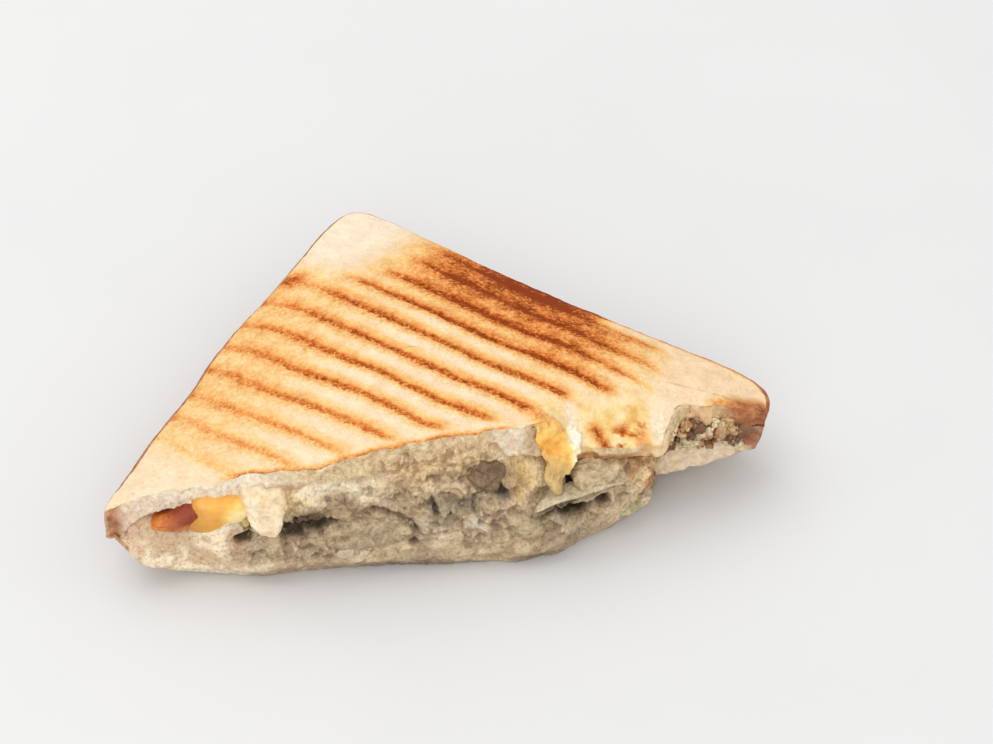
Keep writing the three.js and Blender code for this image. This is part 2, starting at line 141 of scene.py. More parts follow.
def stack(x, y):
    """Heights of every layer at a place: the curl of the corners, then thickness and filling added up."""
    side = np.clip((np.abs(x) - CURL["flat_x"]) / (TIP_X - CURL["flat_x"]), 0, 1)
    back = np.clip((y - CURL["flat_y"]) / (CORNER_Y - CURL["flat_y"]), 0, 1)
    lift = np.where(x < 0, CURL["left"], CURL["right"])
    plump = plumpness(x, y)
    sideways = smooth(RIGHT_GAPE["from"], RIGHT_GAPE["full"], x)
    gape = RIGHT_GAPE["open"] * sideways * (1 - smooth(RIGHT_GAPE["front"], RIGHT_GAPE["shut"], y))
    bottom_low = lift * side ** CURL["power"] + CURL["corner"] * back ** CURL["power"]
    bottom_high = bottom_low + thickness("bottom", x)
    middle_low = bottom_high + GAP + FILLED["lower"] * plump
    middle_high = middle_low + thickness("middle", x)
    pulled = LIP["drop"] * lip_pull(x, y)
    top_level = middle_high + GAP + FILLED["upper"] * plump + gape
    thin = LEFT_THIN["less"] * smooth(LEFT_THIN["from"], LEFT_THIN["full"], -x)
    thin = thin * (1 - smooth(LEFT_THIN["full"], LEFT_THIN["tip"], -x))
    hang = LEFT_HANG["by"] * smooth(LEFT_HANG["from"], LEFT_HANG["full"], -x)
    hang = hang * (1 - smooth(LEFT_HANG["full"], LEFT_HANG["round"], -x))
    near_tip = between(x, RIGHT_THIN["from"], RIGHT_THIN["to"], RIGHT_THIN["edge"])
    near_tip = near_tip * (1 - smooth(RIGHT_THIN["front"], RIGHT_THIN["back"], y))
    return {
        "bottom_low": bottom_low,
        "bottom_high": bottom_high,
        "middle_low": middle_low,
        "middle_high": middle_high + RIGHT_SWOLLEN * near_tip,
        "top_low": top_level - LIP["under"] * pulled + RIGHT_THIN["less"] * near_tip - hang,
        "top_high": top_level + thickness("top", x) - thin - pulled,
    }


def chance(cell, seed):
    """A steady random number from 0 to 1 for each whole-number cell: its numbers multiplied and folded."""
    x, y, z = (cell[..., k].astype(np.int64) for k in range(3))
    mixed = (x * 73856093 ^ y * 19349663 ^ z * 83492791 ^ seed * 912931) & 0x7FFFFFFF
    mixed = ((mixed ^ (mixed >> 15)) * 739391) & 0x7FFFFFFF
    mixed = ((mixed ^ (mixed >> 12)) * 952987) & 0x7FFFFFFF
    return (mixed ^ (mixed >> 14)) / 0x7FFFFFFF


def clouds(points, size, seed, octaves=3):
    """Soft noise from about -1 to 1: random numbers on a lattice blended by a smooth step, and again
    on a lattice turned and half the size, at half the height."""
    turned = points
    total = 0
    for octave in range(octaves):
        place = turned / (size / 2**octave)
        cell = np.floor(place).astype(np.int64)
        part = place - cell
        part = part * part * (3 - 2 * part)
        for corner in np.ndindex(2, 2, 2):
            weight = np.prod(np.where(np.array(corner) > 0, part, 1 - part), axis=-1)
            total = total + weight * (chance(cell + np.array(corner), seed + octave) - 0.5) / 2**octave
        turned = np.stack([
            0.6 * turned[..., 0] - 0.8 * turned[..., 2],
            0.48 * turned[..., 0] + 0.8 * turned[..., 1] + 0.36 * turned[..., 2],
            0.64 * turned[..., 0] - 0.6 * turned[..., 1] + 0.48 * turned[..., 2],
        ], -1)
    return 2 * total


def crumbs(points, size, seed):
    """Distance to the nearest of points scattered one to a lattice cell, in cell sizes, and that point's
    own random number."""
    place = points / size
    cell = np.floor(place).astype(np.int64)
    nearest = np.full(place.shape[:-1], FAR)
    owner = np.zeros_like(nearest)
    for corner in np.ndindex(3, 3, 3):
        near = cell + np.array(corner) - 1
        point = near + np.stack([chance(near, seed + k) for k in range(3)], -1)
        away = np.linalg.norm(place - point, axis=-1)
        owner = np.where(away < nearest, chance(near, seed + 9), owner)
        nearest = np.minimum(nearest, away)
    return nearest, owner


def spaced(line, count):
    """Points evenly spaced along a line, its end left out."""
    steps = np.linalg.norm(np.diff(line, axis=0), axis=1)
    along = np.concatenate([[0], np.cumsum(steps)])
    wanted = np.linspace(0, along[-1], count, endpoint=False)
    return np.stack([np.interp(wanted, along, line[:, k]) for k in range(2)], -1), wanted, along[-1]


def slice_outline(cut, shift_x, half_side, squareness, cut_count, crust_count):
    """Points round a slice, along its cut to the right and back round its crust, with the way out, the
    crust's share and how far the nearest tip is. The crust is a rounded square on its corner: at each
    angle it reaches the half side over the root of its two direction shares, each raised to the power
    of its squareness."""
    past = OUTLINE_FINE["past"]
    angle = np.linspace(-past, math.pi + past, OUTLINE_FINE["angles"])
    u = np.abs(np.cos(angle) + np.sin(angle)) / math.sqrt(2)
    v = np.abs(np.sin(angle) - np.cos(angle)) / math.sqrt(2)
    reach = half_side / (u**squareness + v**squareness) ** (1 / squareness)
    x = shift_x + reach * np.cos(angle)
    y = MIDDLE_BEHIND_CUT + reach * np.sin(angle)
    kept = y > cut(x)
    crust_line = np.stack([x[kept], y[kept]], -1)
    cut_x = np.linspace(crust_line[-1, 0], crust_line[0, 0], OUTLINE_FINE["cut"])
    cut_line = np.stack([cut_x, cut(cut_x)], -1)
    cut_points, cut_along, cut_length = spaced(cut_line, cut_count)
    crust_points, crust_along, crust_length = spaced(crust_line, crust_count)
    points = np.concatenate([cut_points, crust_points])
    cut_corner = np.minimum(cut_along, cut_length - cut_along)
    crust_corner = np.minimum(crust_along, crust_length - crust_along)
    crust = np.concatenate([0.5 - 0.5 * smooth(0, 1, cut_corner), 0.5 + 0.5 * smooth(0, 1.4, crust_corner)])
    step = np.roll(points, -1, 0) - np.roll(points, 1, 0)
    out = np.stack([step[:, 1], -step[:, 0]], -1) / np.linalg.norm(step, axis=1)[:, None]
    return points, out, crust, np.concatenate([cut_corner, crust_corner])


def ways_out(rows):
    """Unit directions out of a surface of closed rows: the way down crossed with the way round."""
    down = np.gradient(rows, axis=0)
    around = np.roll(rows, -1, 1) - np.roll(rows, 1, 1)
    out = np.cross(down, around)
    return out / np.maximum(np.linalg.norm(out, axis=-1), 1e-9)[..., None]


def layer_rows(outline, low, high, row_counts, crust_inset=2.2, cut_inset=0.25, lean=None, warp=None):
    """Rows of a flat layer with rounded crust: outwards over its top, down its wall and back under it.
    The wall stands in from the outline by the inset times one less the sine of the way down. The inset
    shrinks near a tip, where the sharp outline would fold over itself. A cut may lean with its depth."""
    points, out, crust, tip_away = outline
    over, wall, under = row_counts
    outwards, inwards = np.linspace(0, 1, over + 1)[1:-1], np.linspace(1, 0, under + 1)[1:-1]
    shares = np.concatenate([outwards, np.ones(wall), inwards])
    turn = np.linspace(0, 1, wall)
    down = np.concatenate([np.zeros(over - 1), 0.5 - 0.5 * np.cos(math.pi * turn), np.ones(under - 1)])
    rounding = 1 - np.sqrt(np.maximum(0, 1 - (2 * down - 1) ** 2))
    inset = np.minimum(mix(cut_inset, crust_inset, crust), 0.3 * tip_away)[None] * rounding[:, None]
    edge = points[None] - inset[..., None] * out[None]
    if lean is not None:
        edge[..., 1] -= lean(edge[..., 0]) * down[:, None] * (1 - crust) * smooth(0, NEAR_TIP, tip_away)
    place = HEART + (edge - HEART) * shares[:, None, None]
    x, y = place[..., 0], place[..., 1]
    rows = np.stack([x, y, mix(high(x, y), low(x, y), down[:, None])], -1)
    wall_share = np.broadcast_to(((shares == 1) & (down > 0.02) & (down < 0.98))[:, None], x.shape)
    rows = rows if warp is None else warp(rows)
    return rows, wall_share * (1 - crust[None]), wall_share * crust[None], down


def into_row(points):
    """Millimetres from the middle of the cut, as metres in the frame's axes."""
    return (points + CUT_IN_ROW) * 0.001


def put_in_scene(name, data):
    """A new object that shows this data."""
    made = bpy.data.objects.new(name, data)
    bpy.context.scene.collection.objects.link(made)
    return made


def closed_piece(name, rows, values=None):
    """A closed mesh from closed rows of points, each joined to the next by four-sided faces.
    Its first and last row close on a point at their middle. Values go in as point attributes.
    Rows with one more axis in front are many such bodies in one mesh."""
    bodies = rows if rows.ndim == 4 else rows[None]
    many, count, around = bodies.shape[:3]
    points = np.concatenate([
        bodies[:, 0].mean(1, keepdims=True), bodies.reshape(many, -1, 3), bodies[:, -1].mean(1, keepdims=True)
    ], 1)
    ring = np.arange(around)
    after = (ring + 1) % around
    start = 1 + around * np.arange(count - 1)[:, None]
    quads = np.stack([start + ring, start + around + ring, start + around + after, start + after], -1)
    last = 1 + around * (count - 1)
    caps = np.concatenate([
        np.stack([np.zeros_like(ring), 1 + ring, 1 + after], -1),
        np.stack([np.full_like(ring, count * around + 1), last + after, last + ring], -1),
    ])
    body_corners = np.concatenate([quads.reshape(-1), caps.reshape(-1)])
    body_starts = np.concatenate([4 * np.arange(quads.size // 4), quads.size + 3 * np.arange(len(caps))])
    order = np.arange(many)[:, None]
    corners = (body_corners[None] + order * (count * around + 2)).reshape(-1)
    starts = (body_starts[None] + order * len(body_corners)).reshape(-1)
    mesh = bpy.data.meshes.new(name)
    mesh.vertices.add(points.shape[0] * points.shape[1])
    mesh.vertices.foreach_set("co", into_row(points).astype(np.float32).ravel())
    mesh.loops.add(len(corners))
    mesh.loops.foreach_set("vertex_index", corners.astype(np.int32))
    mesh.polygons.add(len(starts))
    mesh.polygons.foreach_set("loop_start", starts.astype(np.int32))
    mesh.update(calc_edges=True)
    mesh.validate()
    mesh.shade_smooth()
    for key, value in (values or {}).items():
        colour = value.ndim == rows.ndim
        flat = value.reshape(many, count * around, -1)
        first, end = flat[:, :around].mean(1, keepdims=True), flat[:, -around:].mean(1, keepdims=True)
        flat = np.concatenate([first, flat, end], 1)
        if colour:
            flat = np.concatenate([flat, np.ones(flat.shape[:2] + (1,))], 2)
        kept = mesh.attributes.new(key, "FLOAT_COLOR" if colour else "FLOAT", "POINT")
        kept.data.foreach_set("color" if colour else "value", flat.astype(np.float32).ravel())
    return put_in_scene(name, mesh)


def linear(red, green, blue):
    """A colour given as 0 to 255, as seen on a screen, in the plain light values that a shader mixes."""
    seen = np.array([red, green, blue]) / 255
    return np.where(seen <= 0.04045, seen / 12.92, ((seen + 0.055) / 1.055) ** 2.4)


class Finish:
    """A procedural material in the making. Each method adds a node and gives back what comes out of it."""

    def __init__(self, name, **settings):
        """A new material whose shader has these settings, placed by the object's own coordinates."""
        self.material = bpy.data.materials.new(name)
        self.material.use_nodes = True
        self.tree = self.material.node_tree
        self.shader = self.tree.nodes["Principled BSDF"]
        for key, value in settings.items():
            self.shader.inputs[key.replace("_", " ")].default_value = value
        self.place = self.add("TexCoord", {}, "Object")

    def add(self, kind, inputs, output, **settings):
        """A node of a kind, with its inputs linked or set, its settings made and one output given back."""
        made = self.tree.nodes.new("ShaderNode" + kind)
        for key, value in settings.items():
            setattr(made, key, value)
        for key, value in inputs.items():
            if isinstance(value, bpy.types.NodeSocket):
                self.tree.links.new(value, made.inputs[key])
            else:
                made.inputs[key].default_value = value
        return made.outputs[output]

    def noise(self, size, detail=3.0, rough=0.55):
        """Soft noise round 0.5 whose blobs are about size millimetres across."""
        sizes = {"Vector": self.place, "Scale": 1000 / size, "Detail": detail, "Roughness": rough}
        return self.add("TexNoise", sizes, 0)

    def value(self, name):
        """A point attribute read as a number."""
        return self.add("Attribute", {}, "Fac", attribute_name=name)

    def colour(self, name):
        """A point attribute read as a colour."""
        return self.add("Attribute", {}, "Color", attribute_name=name)

    def maths(self, how, first, second=0.0, third=0.0):
        """A sum, a product or another operation on up to three numbers."""
        return self.add("Math", {0: first, 1: second, 2: third}, 0, operation=how)

    def between(self, value, low, high, least=0.0, most=1.0):
        """Least at low and most at high, with a soft S between."""
        ends = {"Value": value, "From Min": low, "From Max": high, "To Min": least, "To Max": most}
        return self.add("MapRange", ends, "Result", interpolation_type="SMOOTHSTEP")

    def ramp(self, value, stops):
        """A colour for each value: stops are pairs of a place and a colour."""
        colour = self.add("ValToRGB", {"Fac": value}, "Color")
        ramp = colour.node.color_ramp
        for index, (place, stop) in enumerate(stops):
            element = ramp.elements[index] if index < 2 else ramp.elements.new(place)
            element.position = place
            element.color = (*linear(*stop), 1)
        return colour

    def blend(self, first, second, share, how="MIX"):
        """Two colours mixed, or multiplied, by a share."""
        made = {0: share, 6: first, 7: second}
        for key in (6, 7):
            if isinstance(made[key], tuple):
                made[key] = (*linear(*made[key]), 1)
        return self.add("Mix", made, 2, data_type="RGBA", blend_type=how)

    def relief(self, height, depth):
        """Fine bumps: the height times so many millimetres."""
        return self.add("Bump", {"Height": height, "Distance": depth / 1000}, "Normal")

    def put(self, **sockets):
        """The finished material, with these values linked to the shader."""
        for key, value in sockets.items():
            self.tree.links.new(value, self.shader.inputs[key.replace("_", " ")])
        return self.material


def bread_finish(name, pale, golden, orange, brown, dark):
    """Toast: a ramp of five browns read from how much heat each place took. The heat is the grill's
    stripes, whose phase and strength are point attributes, plus broad browning, both made ragged and
    speckled by fine noise. Cut faces are white crumb with darker pores, stained where sauce soaked in."""
    finish = Finish(name, Roughness=0.85, Specular_IOR_Level=0.12)
    grit = finish.noise(0.8, 5, 0.75)
    patch = finish.noise(3.6, 3, 0.6)
    streak = finish.noise(1.7, 3, 0.6)
    ragged = finish.maths("MULTIPLY_ADD", streak, 0.24, finish.maths("MULTIPLY", grit, 0.26))
    phase = finish.maths("ADD", finish.value("stripe"), finish.maths("ADD", ragged, 0.25))
    off = finish.maths("ABSOLUTE", finish.maths("SUBTRACT", finish.maths("FRACT", phase), 0.5))
    core = finish.between(off, 0.17, 0.03)
    halo = finish.between(off, 0.46, 0.10)
    line = finish.maths("MULTIPLY_ADD", core, 0.42, finish.maths("MULTIPLY", halo, 0.30))
    grilled = finish.maths("MULTIPLY", line, finish.value("grilled"))
    tan = finish.maths("MULTIPLY", finish.value("toast"), finish.between(patch, 0.25, 0.75, 0.75, 1.25))
    even = finish.maths("ADD", grilled, tan)
    speckled = finish.maths("MULTIPLY", even, finish.between(grit, 0.28, 0.72, 0.62, 1.42))
    heat = finish.maths("MULTIPLY_ADD", grit, 0.12, finish.maths("ADD", speckled, -0.06))
    face = finish.ramp(heat, [(0.0, pale), (1.0, dark), (0.24, golden), (0.46, orange), (0.70, brown)])
    mottle = finish.ramp(patch, [(0.3, (255, 255, 255)), (0.7, (240, 240, 240))])
    face = finish.blend(face, mottle, 1.0, "MULTIPLY")
    for where, (*noise, stops) in COATS.items():
        face = finish.blend(face, finish.ramp(finish.noise(*noise), stops), finish.value(where))
    bumps = finish.relief(finish.maths("ADD", grit, finish.maths("MULTIPLY", streak, 1.4)), 0.55)
    return finish.put(Base_Color=face, Normal=bumps)


def turned_axes(first, second, angle):
    """Two coordinates read on axes turned by an angle: the first's cosine share and the second's sine
    share are added, and the second's cosine share is lessened by the first's sine share."""
    cosine, sine = np.cos(angle), np.sin(angle)
    return first * cosine + second * sine, second * cosine - first * sine


def along_grill(x, y):
    """A place's way along the grill's bars and across them."""
    return turned_axes(x, y, GRILL["turn"])


def stripe_phase(along, across):
    """Which stripe a place is at, a whole number on a stripe's middle: the way across in pitches,
    less a bend towards each end of the stripes and another where they start at the top."""
    bend = GRILL_BEND["right"] * smooth(-8, 16, along) * (1 - smooth(36, 46, across))
    bend = bend + GRILL_BEND["left"] * (1 - smooth(-56, -36, along))
    bend = bend - GRILL_BEND["top"] * smooth(24, 36, across) * (1 - smooth(-12, 6, along))
    return (across - bend - GRILL["first"]) / GRILL["pitch"]


def lean_out(rows):
    """The torn lip stands out of the cut."""
    moved = rows.copy()
    moved[..., 1] -= LIP["out"] * lip_pull(rows[..., 0], rows[..., 1])
    return moved


def pitted(points, cut_share, seed):
    """Depth of the crumb's pores in a cut face: a round pit where a scattered point lies near."""
    pits = 0
    for size, end, deepest, none, depth, more in PORES:
        away, number = crumbs(points, size, seed + more)
        pits = pits + smooth(end, deepest, away) * (number > none) * depth
    return cut_share * pits


def leg_push(x, y):
    """How far the left leg is pushed out: more from its middle to the corner, most past its middle by a
    bell curve, and a little inwards at the tip. It fades towards the slice's heart."""
    along_leg = (x + y - MIDDLE_BEHIND_CUT) / math.sqrt(2)
    beyond = (y - MIDDLE_BEHIND_CUT - x) / math.sqrt(2)
    push = BOW["corner"] * smooth(-34, 0, along_leg) + BOW["middle"] * bell(along_leg, 7, 13)
    push = push - BOW["tip"] * (1 - smooth(-38, -26, along_leg))
    return push * smooth(0, HALF_SIDE, beyond)


def bowed(rows):
    """Rows with the left leg bowed out, square across the leg."""
    moved = rows.copy()
    push = leg_push(rows[..., 0], rows[..., 1]) / math.sqrt(2)
    moved[..., 0] -= push
    moved[..., 1] += push
    return moved


def wavering_cut(at, waver, wave, left, right):
    """A lower slice's cut as a function of x: a sine wave about its place, set back near each tip by so
    much, between two distances from the middle."""
    return lambda x: (
        at + waver * np.sin(x / wave) + left[0] * smooth(*left[1:], -x) + right[0] * smooth(*right[1:], x)
    )


def lay_slice(which, cut, shift_x, shrink, counts, row_counts, lean, seed, warp):
    """One slice between its two heights in the stack, roughened by noise and pitted where it is cut."""
    outline = slice_outline(cut, shift_x, HALF_SIDE - shrink, SQUARENESS, *counts)
    rows, cut_share, crust_share, down = layer_rows(
        outline,
        lambda x, y: stack(x, y)[which + "_low"],
        lambda x, y: stack(x, y)[which + "_high"],
        row_counts,
        lean=lean,
        warp=lambda rows: warp(bowed(rows)),
    )
    flat = rows.copy()
    out = ways_out(rows)
    uneven = 0.16 * clouds(rows, 7, seed, 3) + 0.07 * clouds(rows, 1.3, seed + 5, 2)
    moved = uneven + cut_share * 0.35 * clouds(rows, 2.2, seed + 11, 3) - pitted(rows, cut_share, seed + 20)
    rows = rows + out * moved[..., None]
    near_cut = np.exp(-np.maximum(0, flat[..., 1] - cut(flat[..., 0])) / 1.6) * (1 - outline[2])
    near_cut = near_cut * smooth(0, NEAR_TIP, outline[3])
    rows[..., 1] += near_cut * 0.75 * clouds(flat * np.array([1, 0.2, 0.6]), 3.4, seed + 13, 4)
    return rows, flat, cut_share, crust_share, down


def tip_drawn_in(rows, which):
    """The left tip is squashed to a blunter end: past its start, every x is drawn back by a share."""
    moved = rows.copy()
    past = np.maximum(0, -TIP_SQUASH["from"] - rows[..., 0])
    moved[..., 0] += TIP_SQUASH[which] * past
    return moved


def settle(piece, material, node=None):
    """Gives a piece its material and tells the frame what it rides on and what it replaces."""
    piece.data.materials.append(material)
    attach(piece, "root")
    if node is not None:
        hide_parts(node)


bottom_cut = wavering_cut(at=-1.0, waver=-0.3, wave=11, left=(4, 40, 68), right=(4, 40, 52))
rows, flat, cut_share, crust_share, down = lay_slice(
    "bottom",
    bottom_cut,
    shift_x=0.8,
    shrink=1.2,
    counts=(260, 340),
    row_counts=(40, 14, 50),
    lean=lambda x: -0.6,
    seed=101,
    warp=lambda rows: tip_drawn_in(rows, "bottom"),
)
rows[..., 2] = np.maximum(rows[..., 2], TABLE_CLEAR)
x, y = flat[..., 0], flat[..., 1]
along, across = along_grill(x, y)
under_share = (down > 0.98)[:, None] * np.ones_like(x)
inner = smooth(0, 0.35, plumpness(x, y))
bottom_values = {
    "stripe": stripe_phase(along, across),
    "grilled": under_share * inner * 0.8,
    "toast": 0.12 + under_share * 0.16 * inner,
    "crumb": cut_share * 0.9,
    "sauce": cut_share * smooth(-66, -46, x) * (1 - smooth(56, 66, x)) * 0.8,
    "melt": 0 * x,
    "crust": np.maximum(crust_share, 0.55 * cut_share * (1 - smooth(-66.5, -62, x))),
}
bread_bottom = closed_piece("bread_bottom_slice", rows, bottom_values)
toast_light = bread_finish(
    "toasted_loaf", (248, 226, 186), (244, 202, 134), (232, 170, 104), (204, 130, 76), (136, 78, 46)
)
settle(bread_bottom, toast_light, "bread_bottom")

# Middle slice: the same loaf, untoasted inside the stack, soft and a little pink where it is moist.
# It only shows at the two tips of the cut, standing out at the right one, and as a thin line round the
# crusts.
middle_cut = wavering_cut(at=0.6, waver=0.5, wave=9, left=(3.4, 44, 62), right=(-4.4, 40, 49))
rows, flat, cut_share, crust_share, down = lay_slice(
    "middle",
    middle_cut,
    shift_x=1.8,
    shrink=0.8,
    counts=(260, 340),
    row_counts=(20, 14, 20),
    lean=None,
    seed=211,
    warp=lambda rows: tip_drawn_in(rows, "middle"),
)
x, y = flat[..., 0], flat[..., 1]
right_tip = smooth(61, 65, x) * (1 - cut_share) + 0.8 * cut_share * smooth(66, 69, x)
front_tips = (0.4 * (1 - smooth(-65, -60, x)) + right_tip) * (1 - smooth(3, 7, y - middle_cut(x)))
taper = RIGHT_TAPER["by"] * smooth(RIGHT_TAPER["from"], RIGHT_TAPER["full"], x)
rows[..., 2] += taper * smooth(0.35, 1, down)[:, None]
ridges = 0.9 * clouds(flat * np.array([0.3, 1, 1.5]), 2.6, 221, 3)
rows = rows + ways_out(rows) * (cut_share * between(x, 44, 68, 5) * ridges)[..., None]
shown = smooth(44, 50, x)
middle_values = {
    "stripe": 0 * x,
    "grilled": 0 * x,
    "toast": 0.02 + 0.25 * cut_share * shown,
    "crumb": cut_share * (0.9 - 0.4 * shown),
    "sauce": cut_share * smooth(-50, -40, x) * (1 - smooth(46, 56, x)) * 0.7,
    "melt": 0 * x,
    "crust": np.maximum(crust_share * 0.8, 0.9 * front_tips),
}
bread_middle = closed_piece("bread_middle_slice", rows, middle_values)
soft_loaf = bread_finish(
    "soft_loaf", (250, 230, 206), (240, 208, 168), (224, 180, 134), (200, 148, 102), (150, 100, 66)
)
settle(bread_middle, soft_loaf, "bread_middle")

# Filling: chicken and mushroom in a thick cream sauce, spread in two layers and pressed out of the cut.
# The mass in front is a smooth paste at its foot, lumpy above, and smeared up over the top slice's crumb.
# Pieces of chicken and mushroom stand out of it, with hollows between them that are darkened by painted
# shade.
MASS = {"from": -69, "to": 49, "foot": 0.3, "deep": 5, "clear": 0.4, "stations": 480, "levels": 150}
LUMPS_ALONG = (-40, 45)  # the lumps lie between these places
MASS_NOSE = {"rise": 22, "power": 6.0, "most": 12.5}  # how its underside rises towards the left tip
MASS_BULGE = {"out": 13.5, "at": 18, "left": 46, "right": 31}  # how its foot stands out of the cut
FULL_TURN = 6.283  # radians
LUMPS = [  # the solid's own chunks, then small pieces among them: shares run from the first value to the last
    {
        "count": 30, "start": (0.31, 0.57), "step": (0.7549, 0.5698), "radius": (2.6, 5.0), "power": 1,
        "long": (1.25, 1.25), "proud": (0.4, 0.4), "turn": 0, "tilt": 0,
    },
    {
        "count": 300, "start": (0.11, 0.83), "step": (0.8191725, 0.6710436), "radius": (0.7, 1.9),
        "power": 1.5, "long": (1.0, 2.4), "proud": (0.4, 0.95), "turn": FULL_TURN, "tilt": 0.5,
    },
]
PASTE = (206, 184, 150)
TONES = [  # how common a colour of small piece is, and the colour
    (0.30, PASTE),
    (0.22, (232, 214, 180)),
    (0.16, (182, 156, 126)),
    (0.10, (152, 126, 100)),
    (0.08, (196, 184, 144)),
    (0.08, (244, 230, 204)),
    (0.04, (204, 166, 118)),
]
# Each hollow is pressed into the mass and also darkened below by painted shade.
HOLLOWS = {  # where it is: x, height, half width, half height, depth
    "left of the left chunk": (-42.8, 12.8, 2.8, 1.6, 3.2),
    "beside the left chunk": (-41.2, 15.2, 1.6, 1.4, 2.6),
    "under the left chunk": (-33.2, 13.8, 3.6, 2.3, 4.0),
    "round the dark mushroom": (-28.6, 15.8, 3.4, 2.3, 3.6),
    "at the dark mushroom's end": (-24.8, 16.6, 1.8, 1.1, 1.8),
    "right of the oval slice": (-8.3, 8.9, 1.3, 1.3, 2.0),
    "right of the middle mushroom": (11.4, 18.4, 1.9, 1.3, 2.2),
    "under the middle mushroom": (7.3, 16.8, 1.3, 0.8, 1.0),
    "at the sliver's left end": (20.9, 12.2, 2.2, 0.8, 2.4),
    "under the sliver": (26.8, 11.6, 4.0, 1.4, 3.4),
    "under the sliver's right end": (33.4, 12.0, 2.4, 1.4, 2.2),
    "left of the right chunk": (27.0, 16.2, 1.8, 2.4, 2.8),
}
SMOOTH_PLACES = [(1.0, 0.6, 21.5, 6.0, 2.6), (1.0, -18.7, 20, 3.6, 2.8), (0.8, 6, 15.5, 4.5, 3)]
SPECKLED_PLACES = [(1.0, 0.6, 16.9, 5.0, 2.2), (1.0, -24, 14.5, 4, 1.8)]
# The ring round the oval mushroom slice is a groove, also darkened below by painted shade.
CAP_RING = {"x": -16.2, "z": 12.0, "half_x": 9.1, "half_z": 5.9, "slant": 0.12, "line": 0.10, "deep": 1.2}


def spot(x, z, at_x, at_z, half_x, half_z):
    """A soft oval spot: the product of a bell curve each way."""
    return np.exp(-(((x - at_x) / half_x) ** 2) - ((z - at_z) / half_z) ** 2)


def foot_bulge(x):
    """How far the foot stands out of the cut: a bell curve, steeper on its right, with two swellings."""
    half = np.where(x < MASS_BULGE["at"], MASS_BULGE["left"], MASS_BULGE["right"])
    main = MASS_BULGE["out"] * bell(x, MASS_BULGE["at"], half)
    return main + 2.0 * bell(x, -37, 10) + 1.6 * between(x, 9, 28, 5)


def mass_span(x):
    """The mass's lowest height, the top slice's underside and the mass's highest height at each x. At
    the left it only covers the two lower slices, up to the tip; in the middle it climbs the crumb."""
    layers = stack(x, top_cut(x))
    nose = np.clip((-x - CURL["flat_x"]) / (TIP_X - CURL["flat_x"]), 0, 1) ** MASS_NOSE["power"]
    right_low = np.maximum(MASS["foot"], 0.4 * stack(x, 0 * x)["bottom_low"]) + 3.0 * smooth(44, 49.5, x)
    low = np.where(x < 0, MASS["foot"] + np.minimum(MASS_NOSE["rise"] * nose, MASS_NOSE["most"]), right_low)
    under = layers["top_low"] - GAP - MASS["clear"]
    uneven = 0.9 * np.sin(x * 0.9) * np.sin(x * 0.37 + 1)
    climb = mix(under, layers["top_high"] - 1.5 + uneven, between(x, -36, 17, 7))
    beside_tip = mix(layers["middle_high"] - 0.3, under + 0.4, smooth(57, 63, -x))
    return low, under, np.maximum(low + 1, mix(beside_tip, climb, smooth(-50, -41, x)))


def mass_front(x, z):
    """The front of the mass at a height: from the foot to the bread with a belly, then up the crumb."""
    low, under, high = mass_span(x)
    below = np.clip((z - low) / (under - low), 0, 1)
    above = np.clip((z - under) / np.maximum(high - under, 1), 0, 1)
    belly = 0.6 * np.sin(math.pi * np.clip(below + 0.15, 0, 1))
    rounded = 2.4 * (1 - smooth(0, 0.22, below))
    tucked = 2.6 * smooth(0.88, 1.0, (z - low) / (high - low))
    return mix(-foot_bulge(x), top_cut(x) - 2.2, below**1.25) - belly + rounded + above + tucked


def fraction(value):
    """What is left of a number when its whole part is taken off."""
    return value - np.floor(value)


def most_of(places, x, z):
    """The strongest of several soft spots: each is a strength, a place and two half sizes."""
    return np.maximum.reduce([strength * spot(x, z, *place) for strength, *place in places])


def paint(tone, colour, share):
    """A tone covered by a colour in a share that differs from place to place."""
    return mix(tone, colour, share[..., None])


def dappled(points, dark, light, size, seed, low, high, octaves=3):
    """Colours picked by noise: the dark one where the noise is below low and the light one above high."""
    return paint(linear(*dark), linear(*light), smooth(low, high, clouds(points, size, seed, octaves)))


share = np.arange(MASS["stations"] + 1) / MASS["stations"]
mass_x = mix(MASS["from"], MASS["to"], share)[:, None] * np.ones(MASS["levels"] + 1)
up = np.arange(MASS["levels"] + 1)[None] / MASS["levels"] * np.ones((MASS["stations"] + 1, 1))
low, under, high = mass_span(mass_x)
mass_z = mix(low, high, up)
spots = np.stack([mass_x, 0 * mass_x, mass_z], -1)
warped_x = mass_x + 1.5 * clouds(spots, 4.5, 31, 3)
warped_z = mass_z + 1.5 * clouds(spots, 4.5, 37, 3)

